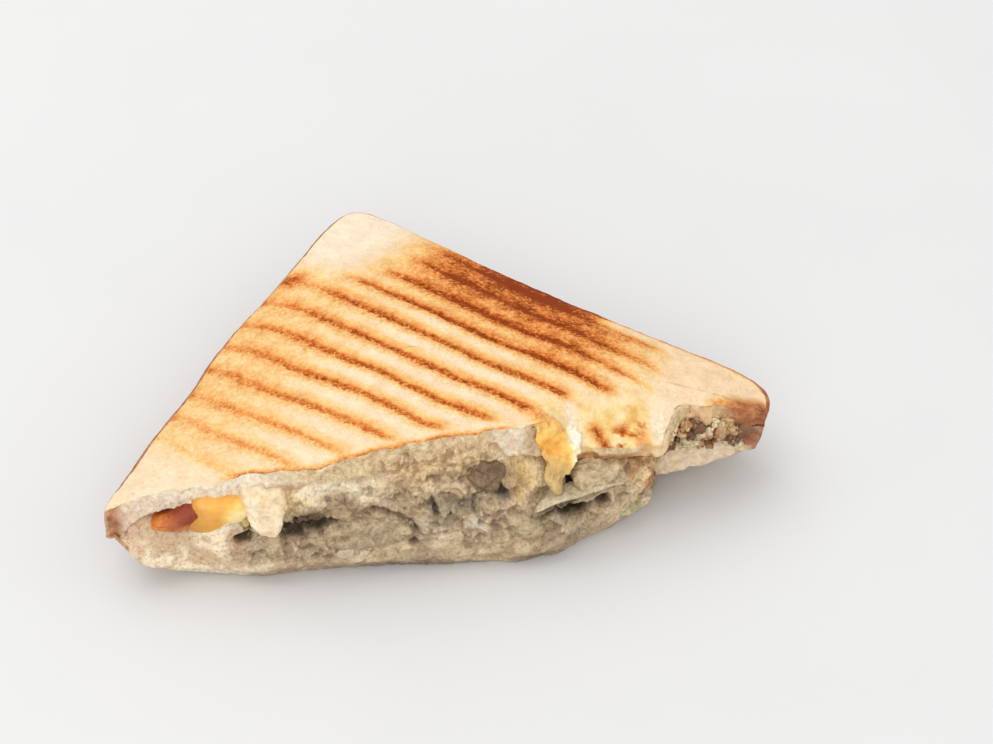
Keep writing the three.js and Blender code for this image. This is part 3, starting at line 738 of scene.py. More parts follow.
# Each lump is a mound, the root of one less its distance to the power of three, and tilted. Kept at each
# place are the foremost lump's height, how far it stands before the next, and whose it is.
height = np.zeros_like(mass_x)
spare = np.full_like(mass_x, FAR)
owner = np.full(mass_x.shape, -1)
lump_tones = []
tone_limits = np.cumsum([common for common, _ in TONES])
for kind in LUMPS:
    for order in range(kind["count"]):
        lump_x = mix(*LUMPS_ALONG, fraction(kind["start"][0] + order * kind["step"][0]))
        lump_low, lump_high, _ = (float(value) for value in mass_span(np.array(lump_x)))
        radius = mix(*kind["radius"], fraction(order * 0.618) ** kind["power"])
        risen = fraction(kind["start"][1] + order * kind["step"][1])
        lump_z = mix(lump_low + radius * 0.8, lump_high - radius * 0.5, risen)
        turned = kind["turn"] * fraction(order * 0.4311)
        long = radius * mix(*kind["long"], fraction(order * 0.377))
        proud = radius * mix(*kind["proud"], fraction(order * 0.287))
        tilt = mix(-kind["tilt"], kind["tilt"], fraction(order * 0.913))
        away_x, away_z = turned_axes(warped_x - lump_x, warped_z - lump_z, turned)
        away = np.sqrt((away_x / long) ** 2 + (away_z / radius) ** 2)
        own = proud * np.sqrt(np.maximum(0, 1 - away**3)) * (1 + tilt * away_x / long)
        front = own > height
        spare = np.where(front, own - height, np.minimum(spare, height - own))
        owner = np.where(front, len(lump_tones), owner)
        height = np.maximum(height, own)
        lump_tones.append(int(np.searchsorted(tone_limits, fraction(0.37 + len(lump_tones) * 0.7071))))
height = np.maximum(height, 0.8)

below = np.clip((mass_z - low) / (under - low), 0, 1)
on_crumb = smooth(0, 1.2, mass_z - under)
lumpy = mix(0.14, 1.0, smooth(0.16, 0.52, below + 0.10 * clouds(spots, 9, 51, 2))) * smooth(-50, -40, mass_x)
lumpy = lumpy * (1 - 0.75 * on_crumb) * (1 - 0.8 * spot(mass_x, mass_z, 15.6, 20.5, 3.2, 4.2))
crevice = (1 - smooth(0.0, 0.5, spare)) * lumpy
hollow = np.zeros_like(mass_x)
for at_x, at_z, half_x, half_z, depth in HOLLOWS.values():
    away = np.hypot(
        (mix(mass_x, warped_x, 0.5) - at_x) / half_x, (mix(mass_z, warped_z, 0.5) - at_z) / half_z
    )
    hollow = np.maximum(hollow, depth * (1 - smooth(0.45, 1.15, away)))
filled = spot(mass_x, mass_z, -4.4, 12, 2.6, 3.2)
calmed = most_of(SMOOTH_PLACES, mass_x, mass_z)
pits = smooth(0.30, 0.62, clouds(spots, 3.4, 63, 3)) * lumpy * (1 - filled) * (1 - calmed)
shreds = clouds(spots * np.array([1, 1, 2.2]), 2.6, 61, 3)
relief = height * lumpy + 0.55 * shreds * lumpy - 0.8 * pits - 0.3 * crevice - hollow
relief = relief + 0.16 * clouds(spots, 0.9, 67, 2) + 0.26 * clouds(spots, 1.5, 69, 3) * (0.3 + 0.7 * lumpy)
relief = relief + 0.6 * clouds(spots, 11, 71, 2) + 0.5 * on_crumb * clouds(spots, 1.7, 73, 3)
relief = mix(mix(relief, 1.6, 0.7 * filled), 1.1, 0.6 * calmed)
relief = relief - 1.8 * spot(mass_x, mass_z, -37.5, 15.5, 4.6, 4.4)
slanted_z = mass_z - CAP_RING["z"] + CAP_RING["slant"] * (mass_x + 15.6)
ring_away = np.hypot((mass_x - CAP_RING["x"]) / CAP_RING["half_x"], slanted_z / CAP_RING["half_z"])
cap_ring = bell(ring_away, 1.0, CAP_RING["line"]) * smooth(-22, -14, mass_x) * smooth(9, 12, mass_z)
specks = smooth(0.2, 0.5, most_of(SPECKLED_PLACES, mass_x, mass_z))
specks = specks * smooth(-0.05, 0.35, clouds(spots, 1.5, 111, 3))
specks = np.maximum(specks, 0.5 * smooth(0.42, 0.7, clouds(spots, 1.8, 113, 3)) * lumpy)
bits = smooth(37, 41, mass_x) * smooth(8, 12, mass_z)
relief = relief - CAP_RING["deep"] * cap_ring - 0.9 * specks + bits * clouds(spots, 1.7, 109, 3)

right_end = np.sqrt(1 - (1 - np.clip((MASS["to"] - mass_x) / 5, 0, 1)) ** 2)
ends = smooth(0, 5, mass_x - MASS["from"]) * right_end
at_ends = mix(top_cut(mass_x) + 2.4, 3.4, smooth(30, 55, -mass_x))
front_y = mix(at_ends, mass_front(mass_x, mass_z) - relief, ends)
torn_end = smooth(42, 49, mass_x) * (0.6 + clouds(spots * np.array([0.1, 1, 1]), 5, 115, 3))
front = np.stack([mass_x - 1.5 * torn_end, front_y, mass_z], -1)
edge_x, lowest, highest = mass_x[:, :1], low[:, :1], high[:, :1]
back_y = np.maximum(mass_front(edge_x, under[:, :1]), front_y[:, -1:])
back_y = back_y + MASS["deep"] * mix(0.2, 1.0, smooth(0, 8, edge_x - MASS["from"]))
behind = [
    np.stack([edge_x, back_part, height_part], -1)
    for back_part, height_part in (
        (mix(front_y[:, -1:], back_y, 0.35), highest),
        (back_y, highest),
        (back_y, mix(highest, lowest, 0.5)),
        (back_y, lowest),
        (mix(back_y, front_y[:, :1], 0.6), lowest),
    )
]
rows = np.concatenate([front, *behind], 1)

# The mass's colours: its paste, its lumps, the crumb it has soaked, and smears of sauce and cheese, with
# painted shade in its crevices, hollows and pits and painted shadow along its foot.
below_crumb = smooth(-0.5, 3.5, under - mass_z)
cream = np.clip(smooth(-0.1, 0.5, clouds(spots, 5, 81, 4)) + 0.8 * clouds(spots, 1.6, 83, 3), 0, 1)
palette = np.array([linear(*tone) for _, tone in TONES] + [linear(*PASTE)])
own_share = 0.65 * lumpy * below_crumb * smooth(0.1, 0.9, height) * smooth(0.0, 0.7, spare)
tone = paint(linear(178, 152, 122), linear(222, 200, 166), cream)
tone = paint(tone, palette[np.array(lump_tones + [len(TONES)])[owner]], own_share)
tone = paint(tone, linear(188, 176, 134), 0.3 * smooth(0.35, 0.8, clouds(spots, 5, 93, 2)))
streaks = 0.5 * clouds(spots * np.array([1.0, 1, 1.5]), 5.0, 97, 5) + 0.7 * clouds(spots, 1.0, 96, 3)
crumb_tone = paint(linear(176, 140, 98), linear(240, 211, 164), smooth(-0.46, 0.40, streaks))
tone = paint(tone, crumb_tone, 0.9 * (1 - below_crumb))
creamy = smooth(-46, -38, mass_x) * (1 - smooth(-28, -20, mass_x)) * smooth(15, 19, mass_z)
tone = paint(tone, dappled(spots, (226, 200, 146), (250, 234, 202), 3, 98, -0.4, 0.3, 4), 0.85 * creamy)
tone = paint(tone, dappled(spots, (198, 140, 80), (252, 222, 172), 1.5, 107, -0.3, 0.3), 0.8 * bits)
SMEARS = {  # what it is: x, height, half width, half height and colour
    "melted cheese left of the run": (15.8, 21.2, 2.8, 4.2, (250, 214, 142)),
    # painted shade in the hollow left of the right chunk
    "painted shade left of the right chunk": (27.0, 16.2, 2.2, 2.5, (104, 84, 58)),
    "grey juice by the middle mushroom": (11.4, 18.2, 1.6, 1.2, (120, 118, 112)),
    # painted shade in the hollow round the left mushroom
    "painted shade round the left mushroom": (-30.0, 15.2, 4.8, 2.4, (118, 102, 82)),
    # painted shade in the hollow under the sliver
    "painted shade under the sliver": (26.8, 11.6, 3.8, 1.2, (92, 78, 58)),
    "cream on the left of the foot": (-40.6, 7.4, 5.4, 2.6, (228, 210, 176)),
    "gills of mushroom in the middle": (0.8, 16.8, 4.2, 1.8, (116, 108, 86)),
    "drop of white sauce": (5.2, 12.6, 1.6, 1.8, (240, 234, 222)),
    "red brown skin of a mushroom": (33.6, 12.0, 2.2, 1.3, (120, 66, 44)),
    "cream at the right end": (40.8, 10.2, 2.8, 2.4, (236, 216, 178)),
    "brown sauce under the run": (19.2, 13.4, 3.2, 2.8, (132, 112, 84)),
    "brown paste at the right foot": (27.0, 5.0, 7.0, 2.8, (156, 138, 110)),
    # painted shadow along the foot's bottom edge on the right
    "painted shadow along the right foot": (17.5, 1.0, 6.0, 1.8, (130, 114, 90)),
    "browned shred by the cheese": (14.2, 19.4, 2.0, 1.6, (156, 120, 76)),
    "white crumb over the cheese": (14.6, 24.8, 4.6, 2.6, (255, 242, 208)),
    "brown edge over the left mushroom": (-26.6, 18.9, 4.2, 1.8, (134, 106, 76)),
    "white sauce beside the oval slice": (-4.4, 12.2, 2.8, 2.1, (255, 246, 226)),
    "paste under the oval slice": (-8.5, 4.6, 8.0, 1.6, (180, 162, 132)),
    "white crumb at the left": (-22.0, 22.8, 9.0, 2.4, (255, 238, 206)),
    "stained crumb over the oval slice": (-10.6, 20.0, 3.6, 2.2, (160, 138, 110)),
    "cream under the crumb": (1.0, 21.8, 6.0, 2.4, (214, 186, 152)),
    "paste round the white sauce": (-4.4, 12.0, 3.0, 3.0, (204, 182, 148)),
    "brown shred under the crumb": (-22.0, 20.8, 3.4, 1.5, (128, 98, 64)),
    "white edge of the crumb": (-18.2, 24.4, 4.0, 2.0, (255, 246, 222)),
    "white edge further left": (-25.8, 24.6, 4.0, 2.0, (255, 246, 228)),
    "brown sauce behind the sliver": (24.4, 15.2, 2.2, 1.8, (132, 108, 78)),
    "cream right of the oval slice": (-5.2, 9.2, 2.4, 1.6, (222, 202, 172)),
    # painted shadow along the foot's bottom edge
    "painted shadow along the foot": (-4.0, 0.4, 20.0, 1.1, (128, 114, 94)),
    "cream at the left foot": (-41.0, 5.2, 5.0, 1.8, (238, 220, 188)),
    "cream over the lettuce": (38.4, 11.6, 2.4, 1.8, (238, 218, 180)),
    "dark edge of the middle mushroom": (11.4, 19.6, 1.7, 1.5, (100, 78, 54)),
}
for *place, colour in SMEARS.values():
    tone = paint(tone, linear(*colour), 0.85 * spot(warped_x, warped_z, *place))
ledge = dappled(spots, (214, 186, 152), (252, 236, 208), 4, 99, -0.4, 0.4)
tone = paint(ledge, tone, smooth(-47, -36, mass_x))
browned = 1 - smooth(-67.5, -64.0, mass_x + 1.2 * clouds(spots, 3, 103, 3))
tone = paint(tone, dappled(spots, (174, 120, 84), (232, 192, 152), 1.6, 105, -0.5, 0.5), 0.75 * browned)
# Painted shade: the crevices between lumps, the hollows, the pits and the ring round the oval slice are
# darkened where shade falls; the specks are darkened as dark specks of their own.
painted_shade_and_specks = 1 - 0.25 * crevice - 0.80 * smooth(0.3, 2.2, hollow) - 0.32 * pits - 0.6 * cap_ring - 0.62 * specks
tone = tone * np.maximum(painted_shade_and_specks, 0.12)[..., None] ** np.array([1.0, 1.08, 1.2])
tone = np.concatenate([tone] + [tone[:, -1:]] * 2 + [tone[:, :1]] * 3, 1)

filling_mass = closed_piece("filling_mass", rows, {"tone": tone})
sauce = Finish("creamy_filling", Roughness=0.42, Subsurface_Weight=0.12, Subsurface_Scale=0.002)
sauce.shader.inputs["Subsurface Radius"].default_value = (1.0, 0.7, 0.45)
fine = sauce.noise(0.75, 4, 0.75)
fleck = sauce.noise(2.2, 4, 0.65)
speckled = sauce.ramp(fine, [(0.32, (172, 154, 134)), (0.66, (255, 255, 255)), (0.48, (240, 234, 224))])
body = sauce.blend(sauce.colour("tone"), speckled, 0.9, "MULTIPLY")
body = sauce.blend(body, (250, 240, 222), sauce.between(fleck, 0.60, 0.74, 0.0, 0.4))
wet = sauce.between(fleck, 0.35, 0.65, 0.55, 0.34)
skin = sauce.relief(sauce.maths("MULTIPLY_ADD", fine, 0.7, fleck), 0.5)
creamy_filling = sauce.put(Base_Color=body, Roughness=wet, Normal=skin)
settle(filling_mass, creamy_filling, "filling")

CHEESE_THICK = 1.2


def cheese_high(x, y):
    """The cheese lies two gaps under the top slice."""
    return stack(x, y)["top_low"] - 2 * GAP


def spread_layer(name, low_height, high_height, seed):
    """A layer of filling between two slices, ending inside the crust, with a rough cut."""
    outline = slice_outline(
        lambda x: top_cut(x) + 1.1 + 5 * smooth(46, 51, x), 0.0, HALF_SIDE - 9, 6, 200, 120
    )
    rows, cut_share, _, _ = layer_rows(
        outline,
        low_height,
        lambda x, y: np.maximum(low_height(x, y) + 0.4, high_height(x, y)),
        (8, 10, 8),
        crust_inset=0.3,
        cut_inset=0.3,
    )
    moved = cut_share * 0.6 * clouds(rows, 3.0, seed, 3)
    rows = rows + ways_out(rows) * moved[..., None]
    tone = dappled(rows, PASTE, (222, 206, 174), 4, seed + 3, -0.3, 0.6, 2)
    settle(closed_piece(name, rows, {"tone": tone}), creamy_filling)


spread_layer(
    "filling_upper_layer",
    lambda x, y: stack(x, y)["middle_high"] + 2 * GAP,
    lambda x, y: cheese_high(x, y) - CHEESE_THICK - 2 * GAP,
    131,
)
spread_layer(
    "filling_lower_layer",
    lambda x, y: stack(x, y)["bottom_high"] + 2 * GAP,
    lambda x, y: stack(x, y)["middle_low"] - 2 * GAP,
    137,
)


# Chicken: two soft pieces of cooked breast caught in the sauce, cream outside and beige where stained.
# Each is torn along its fibres; its surface is roughened by noise.
def ball_rows(fine):
    """Rows of points on a ball of radius 1, from its top to its bottom."""
    polar = np.linspace(0, math.pi, fine[0] + 2)[1:-1, None]
    angle = np.linspace(0, 2 * math.pi, fine[1], endpoint=False)[None]
    return np.stack([
        np.sin(polar) * np.cos(angle),
        np.sin(polar) * np.sin(angle),
        np.cos(polar) * np.ones_like(angle),
    ], -1)


def lump_rows(at, size, tilt=0.0, turn=0.0, seed=1, squareness=2.6, taper=0.0, point=0.0, fine=(72, 110)):
    """Rows of an uneven lump, from its top to its bottom: a ball made boxy by dividing by the root of
    its powered sides, swollen by two slow waves, stretched to size, narrowed downwards by its taper
    and to its left by its point, then tilted and turned."""
    ball = ball_rows(fine)
    boxy = (np.abs(ball) ** squareness).sum(-1) ** (1 / squareness)
    uneven = 1 + 0.1 * np.sin(3.1 * ball[..., 0] + 2.3 * ball[..., 1] + 1.7 * seed)
    uneven = uneven + 0.08 * np.sin(4.3 * ball[..., 2] - 3.7 * ball[..., 1] + 2.9 * seed)
    shape = ball * (uneven / boxy)[..., None] * np.array(size)
    wide = shape[..., 0] * (1 + taper * ball[..., 2])
    high = shape[..., 2] * (1 + point * ball[..., 0])
    tilted, risen = turned_axes(wide, high, tilt)
    return np.array(at) + np.stack([*turned_axes(tilted, shape[..., 1], -turn), risen], -1)


def roughen(rows, *waves):
    """Rows moved along their own way out by noise: each wave is a height, a size and a seed."""
    out = ways_out(rows)
    moved = sum(tall * clouds(rows, wide, seed, 3) for tall, wide, seed in waves)
    return rows + out * moved[..., None]


def flesh_finish(name, low, middle, high, size, roughness, glow=0.1, mottled=0.6, tinted=False):
    """Moist food: three near colours mixed by noise, a finer mottle, and soft small bumps. Where it is
    tinted, the piece's own tone is multiplied by them."""
    finish = Finish(name, Roughness=roughness, Subsurface_Weight=glow, Subsurface_Scale=0.002)
    finish.shader.inputs["Subsurface Radius"].default_value = (1.0, 0.65, 0.35)
    broad = finish.noise(size, 4, 0.6)
    grain = finish.noise(size / 4, 4, 0.7)
    colour = finish.ramp(broad, [(0.30, low), (0.70, high), (0.50, middle)])
    mottle = finish.ramp(grain, [(0.32, (206, 198, 188)), (0.6, (255, 255, 255))])
    colour = finish.blend(colour, mottle, mottled, "MULTIPLY")
    if tinted:
        colour = finish.blend(finish.colour("tone"), colour, 0.9, "MULTIPLY")
    bumps = finish.relief(finish.maths("MULTIPLY_ADD", grain, 0.6, broad), 0.45)
    return finish.put(Base_Color=colour, Normal=bumps)


def lump_piece(name, rows, material, slot, node, *waves):
    """A lump of food, roughened by its waves of noise."""
    settle(closed_piece(name, roughen(rows, *waves)), material, node)


FINE_LUMP = (90, 130)  # rows of points, and points round, on a piece that shows in full
LEANS_BACK = {"slope": 0.34, "above": 18.2}  # the left piece leans back
chicken_cream = flesh_finish(
    "chicken_cream", (214, 186, 144), (236, 213, 177), (248, 230, 200), 3.6, 0.40, glow=0.2, mottled=0.3
)
rows = lump_rows([-37.7, 0.9, 18.4], [5.4, 4.4, 5.6], seed=5, squareness=2.8, taper=0.70, fine=FINE_LUMP)
rows[..., 1] += LEANS_BACK["slope"] * (rows[..., 2] - LEANS_BACK["above"])
waves = [(1.1, 6.0, 301), (0.34, 2.2, 303), (0.10, 0.8, 305)]
lump_piece("chicken_chunk_left_piece", rows, chicken_cream, "chicken", "chicken_chunk_left", *waves)

chicken_stained = flesh_finish(
    "chicken_stained", (166, 140, 106), (198, 174, 136), (224, 204, 168), 2.6, 0.45
)
rows = lump_rows([32.3, -6.8, 17.7], [5.0, 3.8, 2.9], tilt=-0.05, seed=17)
waves = [(0.9, 3.5, 311), (0.3, 1.2, 313)]
lump_piece("chicken_chunk_right_piece", rows, chicken_stained, "chicken", "chicken_chunk_right", *waves)

# Mushrooms: one large slice across a cap, lying flat in the front of the mass, two dark pieces in the
# hollows, and a thin pale sliver seen edge on. Cooked soft, so they are smooth with fine wrinkles.
mushroom_slice = flesh_finish(
    "mushroom_slice", (130, 106, 80), (174, 152, 120), (206, 184, 148), 1.8, 0.45
)
rows = lump_rows([-16.6, -5.4, 11.9], [9.3, 3.4, 5.2], tilt=0.12, seed=11, fine=FINE_LUMP)
waves = [(0.4, 5.0, 321), (0.14, 1.1, 323)]
lump_piece("mushroom_cap_piece", rows, mushroom_slice, "mushroom", "mushroom_cap_slice", *waves)

mushroom_dark = flesh_finish(
    "mushroom_dark", (90, 68, 48), (122, 96, 70), (148, 122, 92), 2.4, 0.40
)
DARK_MUSHROOMS = {
    "mushroom_dark_left": {"at": [-28.4, -0.8, 16.0], "size": [3.8, 3.2, 3.0], "seed": 8},
    "mushroom_dark_centre": {"at": [8.5, -4.6, 21.0], "size": [4.0, 3.4, 3.6], "tilt": -0.35, "seed": 14},
}
waves = [(1.1, 3.2, 331), (0.35, 1.3, 333)]
for node, shape in DARK_MUSHROOMS.items():
    rows = lump_rows(**shape, fine=FINE_LUMP)
    lump_piece(node + "_piece", rows, mushroom_dark, "dark_mushroom", node, *waves)

SLIVER = {"from": [17.8, -12.2, 14.2], "to": [37.8, -10.2, 15.8], "arch": 1.7, "bow": 0.9, "wave": 0.25}
SLIVER_SECTION = {"thick": 1.3, "deep": 4.6, "squareness": 0.6, "stations": 110, "around": 36}
mushroom_pale = flesh_finish(
    "mushroom_pale", (168, 150, 116), (196, 180, 146), (218, 204, 174), 3.0, 0.40
)


def sliver_rows():
    """Rows along a thin strip seen edge on: a rounded flat section carried along an arched, bowed line."""
    share = np.linspace(0, 1, SLIVER_SECTION["stations"])[:, None]
    hump = np.sin(math.pi * share)
    middle = mix(np.array(SLIVER["from"]), np.array(SLIVER["to"]), share)
    middle = middle + hump * np.array([0, -SLIVER["bow"], SLIVER["arch"]])
    middle = middle + np.sin(9 * share) * np.array([0, 0, SLIVER["wave"]])
    angle = np.linspace(0, 2 * math.pi, SLIVER_SECTION["around"], endpoint=False)[None]
    ends = np.minimum(1, 12 * np.minimum(share, 1 - share) + 0.15)
    half = SLIVER_SECTION["thick"] / 2 * (0.55 + 0.45 * hump) * ends
    cosine, sine = np.cos(angle), np.sin(angle)
    flat_y, flat_z = (np.sign(way) * np.abs(way) ** SLIVER_SECTION["squareness"] for way in (cosine, sine))
    section_y = SLIVER_SECTION["deep"] / 2 * (1 - flat_y)
    return np.stack([
        middle[:, 0:1] + 0 * section_y,
        middle[:, 1:2] + section_y,
        middle[:, 2:3] - half * flat_z,
    ], -1)


lump_piece(
    "mushroom_sliver_piece", sliver_rows(), mushroom_pale, "mushroom", "mushroom_sliver", (0.16, 2.2, 341)
)

# Lettuce: a scrap of pale green leaf, wilted and limp from the hot sauce. It lies at the foot of the
# filling on the right, pressed out with the sauce when the sandwich was cut.
wilted_lettuce = flesh_finish(
    "wilted_lettuce", (144, 138, 96), (180, 172, 128), (206, 200, 160), 2.4, 0.42
)
rows = lump_rows([40.2, -5.4, 6.0], [5.0, 3.6, 1.3], turn=0.3, tilt=-0.15, seed=21)
waves = [(0.35, 2.5, 351), (0.1, 0.8, 353)]
lump_piece("lettuce_scrap", rows, wilted_lettuce, "lettuce", "lettuce_piece", *waves)

# Tomato: one piece cooked soft, orange brown and wet. It is caught between the slices near the left
# tip of the cut and narrows to a point there.
cooked_tomato = flesh_finish(
    "cooked_tomato", (226, 196, 168), (246, 232, 212), (255, 255, 240), 3.2, 0.42, glow=0.15, tinted=True
)
rows = lump_rows([-54.0, 4.4, 17.0], [7.2, 3.8, 2.9], tilt=-0.18, seed=3, point=0.80)
rows = roughen(rows, (0.4, 5.0, 361), (0.10, 1.6, 363))
# Redder and darker towards its right end and its top; the dark top is painted shade under the top slice's
# overhang.
darker = (rows[..., 0] + 55.5) * 0.16 + (rows[..., 2] - 16.4) * 0.42 + 0.9 * clouds(rows, 3.0, 365, 3)
tone = paint(linear(226, 140, 62), linear(150, 56, 8), smooth(-1.9, 1.2, darker))
settle(closed_piece("tomato_chunk", rows, {"tone": tone}), cooked_tomato, "tomato_piece")

# Cheese: a yellow slice melted under the top bread. It has folded out at the left, and on the right it
# has run down over the filling in soft lobes that turn from deep yellow to cream.
CHEESE_TONES = [(250, 240, 220), (253, 232, 176), (248, 206, 112), (238, 172, 70)]


def cheese_tone(rows, depth):
    """Four cheese colours, from white to deep yellow, blended by a depth from 0 to 3 and by noise."""
    level = np.clip(depth + 0.9 * clouds(rows, 4.5, 387, 3), 0, 2.999)
    tones = np.array([linear(*tone) for tone in CHEESE_TONES])
    first = level.astype(int)
    return paint(tones[first], tones[first + 1], level - first)


cheese = Finish("melted_yellow_cheese", Roughness=0.32, Subsurface_Weight=0.2, Subsurface_Scale=0.002)
cheese.shader.inputs["Subsurface Radius"].default_value = (1.0, 0.7, 0.35)
soft = cheese.noise(2.4, 3, 0.6)
mottle = cheese.ramp(soft, [(0.30, (236, 224, 206)), (0.65, (255, 255, 255))])
body = cheese.blend(cheese.colour("tone"), mottle, 0.7, "MULTIPLY")
yellow_cheese = cheese.put(Base_Color=body, Normal=cheese.relief(soft, 0.5))

rows = lump_rows([-46.8, 3.6, 16.9], [7.6, 4.2, 4.9], tilt=0.13, seed=31, squareness=3.4)
rows = roughen(rows, (0.4, 8.0, 371), (0.05, 1.6, 373))
depth = mix(3.0, 1.5, smooth(-50, -40, rows[..., 0])) + 0.5 * smooth(18, 14, rows[..., 2])
# Painted shade: the fold is darker towards its bottom and towards its left end, under the top slice's
# overhang.
lit = mix(0.82, 1.0, smooth(15, 18, rows[..., 2])) * mix(0.78, 1.0, smooth(-53, -48, rows[..., 0]))
tone = cheese_tone(rows, depth) * lit[..., None]
settle(closed_piece("cheese_fold_piece", rows, {"tone": tone}), yellow_cheese, "cheese_fold_left")

outline = slice_outline(
    lambda x: top_cut(x) + 0.4 + 2.2 * between(x, 29, 50, 4), 0.0, HALF_SIDE - 17, 7, 220, 120
)
rows, _, _, _ = layer_rows(
    outline,
    lambda x, y: cheese_high(x, y) - CHEESE_THICK,
    cheese_high,
    (8, 8, 8),
    crust_inset=0.2,
    cut_inset=0.2,
    warp=lean_out,
)
rows = roughen(rows, (0.25, 3.0, 381))
tone = cheese_tone(rows, 1.8 + 0 * rows[..., 0])
settle(closed_piece("cheese_sheet", rows, {"tone": tone}), yellow_cheese, "melted_cheese")

RUN_STAGES = [0.0, 0.25, 0.6, 1.0]  # shares of the run's way down, with its two sides at each
RUN_LEFT = [19.0, 19.8, 20.6, 21.8]
RUN_RIGHT = [29.2, 28.6, 26.0, 23.4]
RUN_STARTS = ([19, 24, 29.5], [0.6, 2.0, 4.2])  # how far behind the cut it starts at each x
RUN = {"thick": 1.6, "out": 1.6, "fall_out": 5.7, "over": 2.6, "fall": 10.6, "stations": 120, "around": 150}


def run_rows():
    """Rows of a tongue of cheese that runs over the top slice's edge: a flat oval section that narrows
    down a path from behind the cut, over the edge and down the front of the filling."""
    angle = np.linspace(0, 2 * math.pi, RUN["around"], endpoint=False)[None]
    share = np.linspace(0, 1, RUN["stations"])[:, None]
    left, right = np.interp(share, RUN_STAGES, RUN_LEFT), np.interp(share, RUN_STAGES, RUN_RIGHT)
    narrow = 1 - 0.5 * smooth(0.80, 1.0, share)
    x = (left + right) / 2 + (right - left) / 2 * narrow * np.cos(angle) + 0.35 * np.sin(14 * share)
    over = smooth(0, 0.26, share)
    deeper = np.clip((share - 0.3) / 0.7, 0, 1)
    surface_y = top_cut(x) + mix(np.interp(x, *RUN_STARTS), 0, over)
    y = surface_y - LIP["out"] * lip_pull(x, surface_y) - RUN["out"] * over - RUN["fall_out"] * deeper
    tucked = 0.15 - 0.9 * (1 - smooth(0, 0.14, share))
    fallen = RUN["over"] * smooth(0.16, 0.42, share) + RUN["fall"] * deeper
    z = stack(x, surface_y)["top_high"] + tucked - fallen
    round_end = np.clip(1 - (2 * share - 1) ** 10, 0.003, 1) ** 0.5
    raised = RUN["thick"] / 2 * round_end * np.sin(angle) * mix(0.3, 1.3, smooth(0.1, 0.8, share))
    tilt = mix(0.15, 1.1, smooth(0.05, 0.34, share))
    return np.stack([x, y - raised * np.sin(tilt), z + raised * np.cos(tilt)], -1), share


rows, share = run_rows()
rows = roughen(rows, (0.9, 3.6, 391), (0.5, 1.7, 393))
white_side = smooth(25.8, 28.2, rows[..., 0]) * (1 - smooth(0.5, 0.8, share))
tone = cheese_tone(rows, mix(2.7, 1.2, smooth(0.25, 0.9, share)) - 2.4 * white_side)
tone = paint(tone, linear(186, 158, 106), 0.85 * smooth(0.40, 0.75, share))
golden = (1 - smooth(0.10, 0.34, share)) * (1 - smooth(24.5, 27, rows[..., 0]))
tone = paint(tone, linear(208, 154, 86), 0.85 * golden)
settle(closed_piece("cheese_run", rows, {"tone": tone}), yellow_cheese)

# Top slice: the same loaf, browned in a ridged grill, so that dark stripes with golden edges cross it
# in shallow grooves, with a scorched patch behind and pale corners. The knife dragged a lip of it down
# over the filling on the right, and its cut face is crumb, white at the left and stained further on.
STRIPE_LEFT = ([-44, -31, -16, 0, 15, 22, 30, 38, 54], [-44, -51, -57, -61, -62, -57, -49, -40, -40])
STRIPE_RIGHT = ([-31, 15, 22, 30, 38, 46, 54], [-24, 13, 16, 22, 28, 26, 22])
STRIPE_DARK = ([-39, -31, -23, -15, -7, 1, 9, 50], [0.0, 0.30, 0.46, 0.62, 0.80, 0.92, 1.0, 1.0])
TOP_SHIFT_X = 1.6

rows, flat, cut_share, crust_share, down = lay_slice(
    "top",
    top_cut,
    shift_x=TOP_SHIFT_X,
    shrink=0.0,
    counts=(330, 390),
    row_counts=(96, 20, 12),
    lean=lambda x: 1.4 * (1 - between(x, 22, 49, 6)) * (1 - 0.6 * smooth(26, 44, -x)),
    seed=307,
    warp=lean_out,
)
x, y = flat[..., 0], flat[..., 1]
along, across = along_grill(x, y)
upper_share = (down < 0.02)[:, None] * np.ones_like(x)
left_leg_away = HALF_SIDE + leg_push(x, y) - (y - MIDDLE_BEHIND_CUT - x + TOP_SHIFT_X) / math.sqrt(2)
right_leg_away = HALF_SIDE - (x - TOP_SHIFT_X + y - MIDDLE_BEHIND_CUT) / math.sqrt(2)

# The grill's stripes: each ends where two lines say, is darker further back, and is pressed in a little.
phase = stripe_phase(along, across + 0.5 * clouds(np.stack([along, across, 0 * along], -1), 16, 401, 2))
left_end = np.interp(across, *STRIPE_LEFT)
right_end = np.interp(across, *STRIPE_RIGHT)
grilled = smooth(left_end - 3, left_end + 9, along) * (1 - smooth(right_end - 5, right_end + 2, along))
grilled = grilled * np.interp(across, *STRIPE_DARK) * mix(0.5, 1.0, smooth(-56, -26, along))
grilled = grilled + 0.4 * bell(left_leg_away, 1.6, 1.6) * between(across, -34, 34, 10)
grilled = grilled * smooth(2, 5, 59.4 + 0.087 * along - across) * mix(1, 0.62, smooth(32, 44, across))
grilled = grilled * (1 - 0.25 * smooth(-2, 16, along) * smooth(32, 40, across))
groove = (1 - smooth(0.04, 0.26, np.abs(fraction(phase + 0.5) - 0.5))) * grilled * upper_share
rows[..., 2] -= GRILL["deep"] * groove

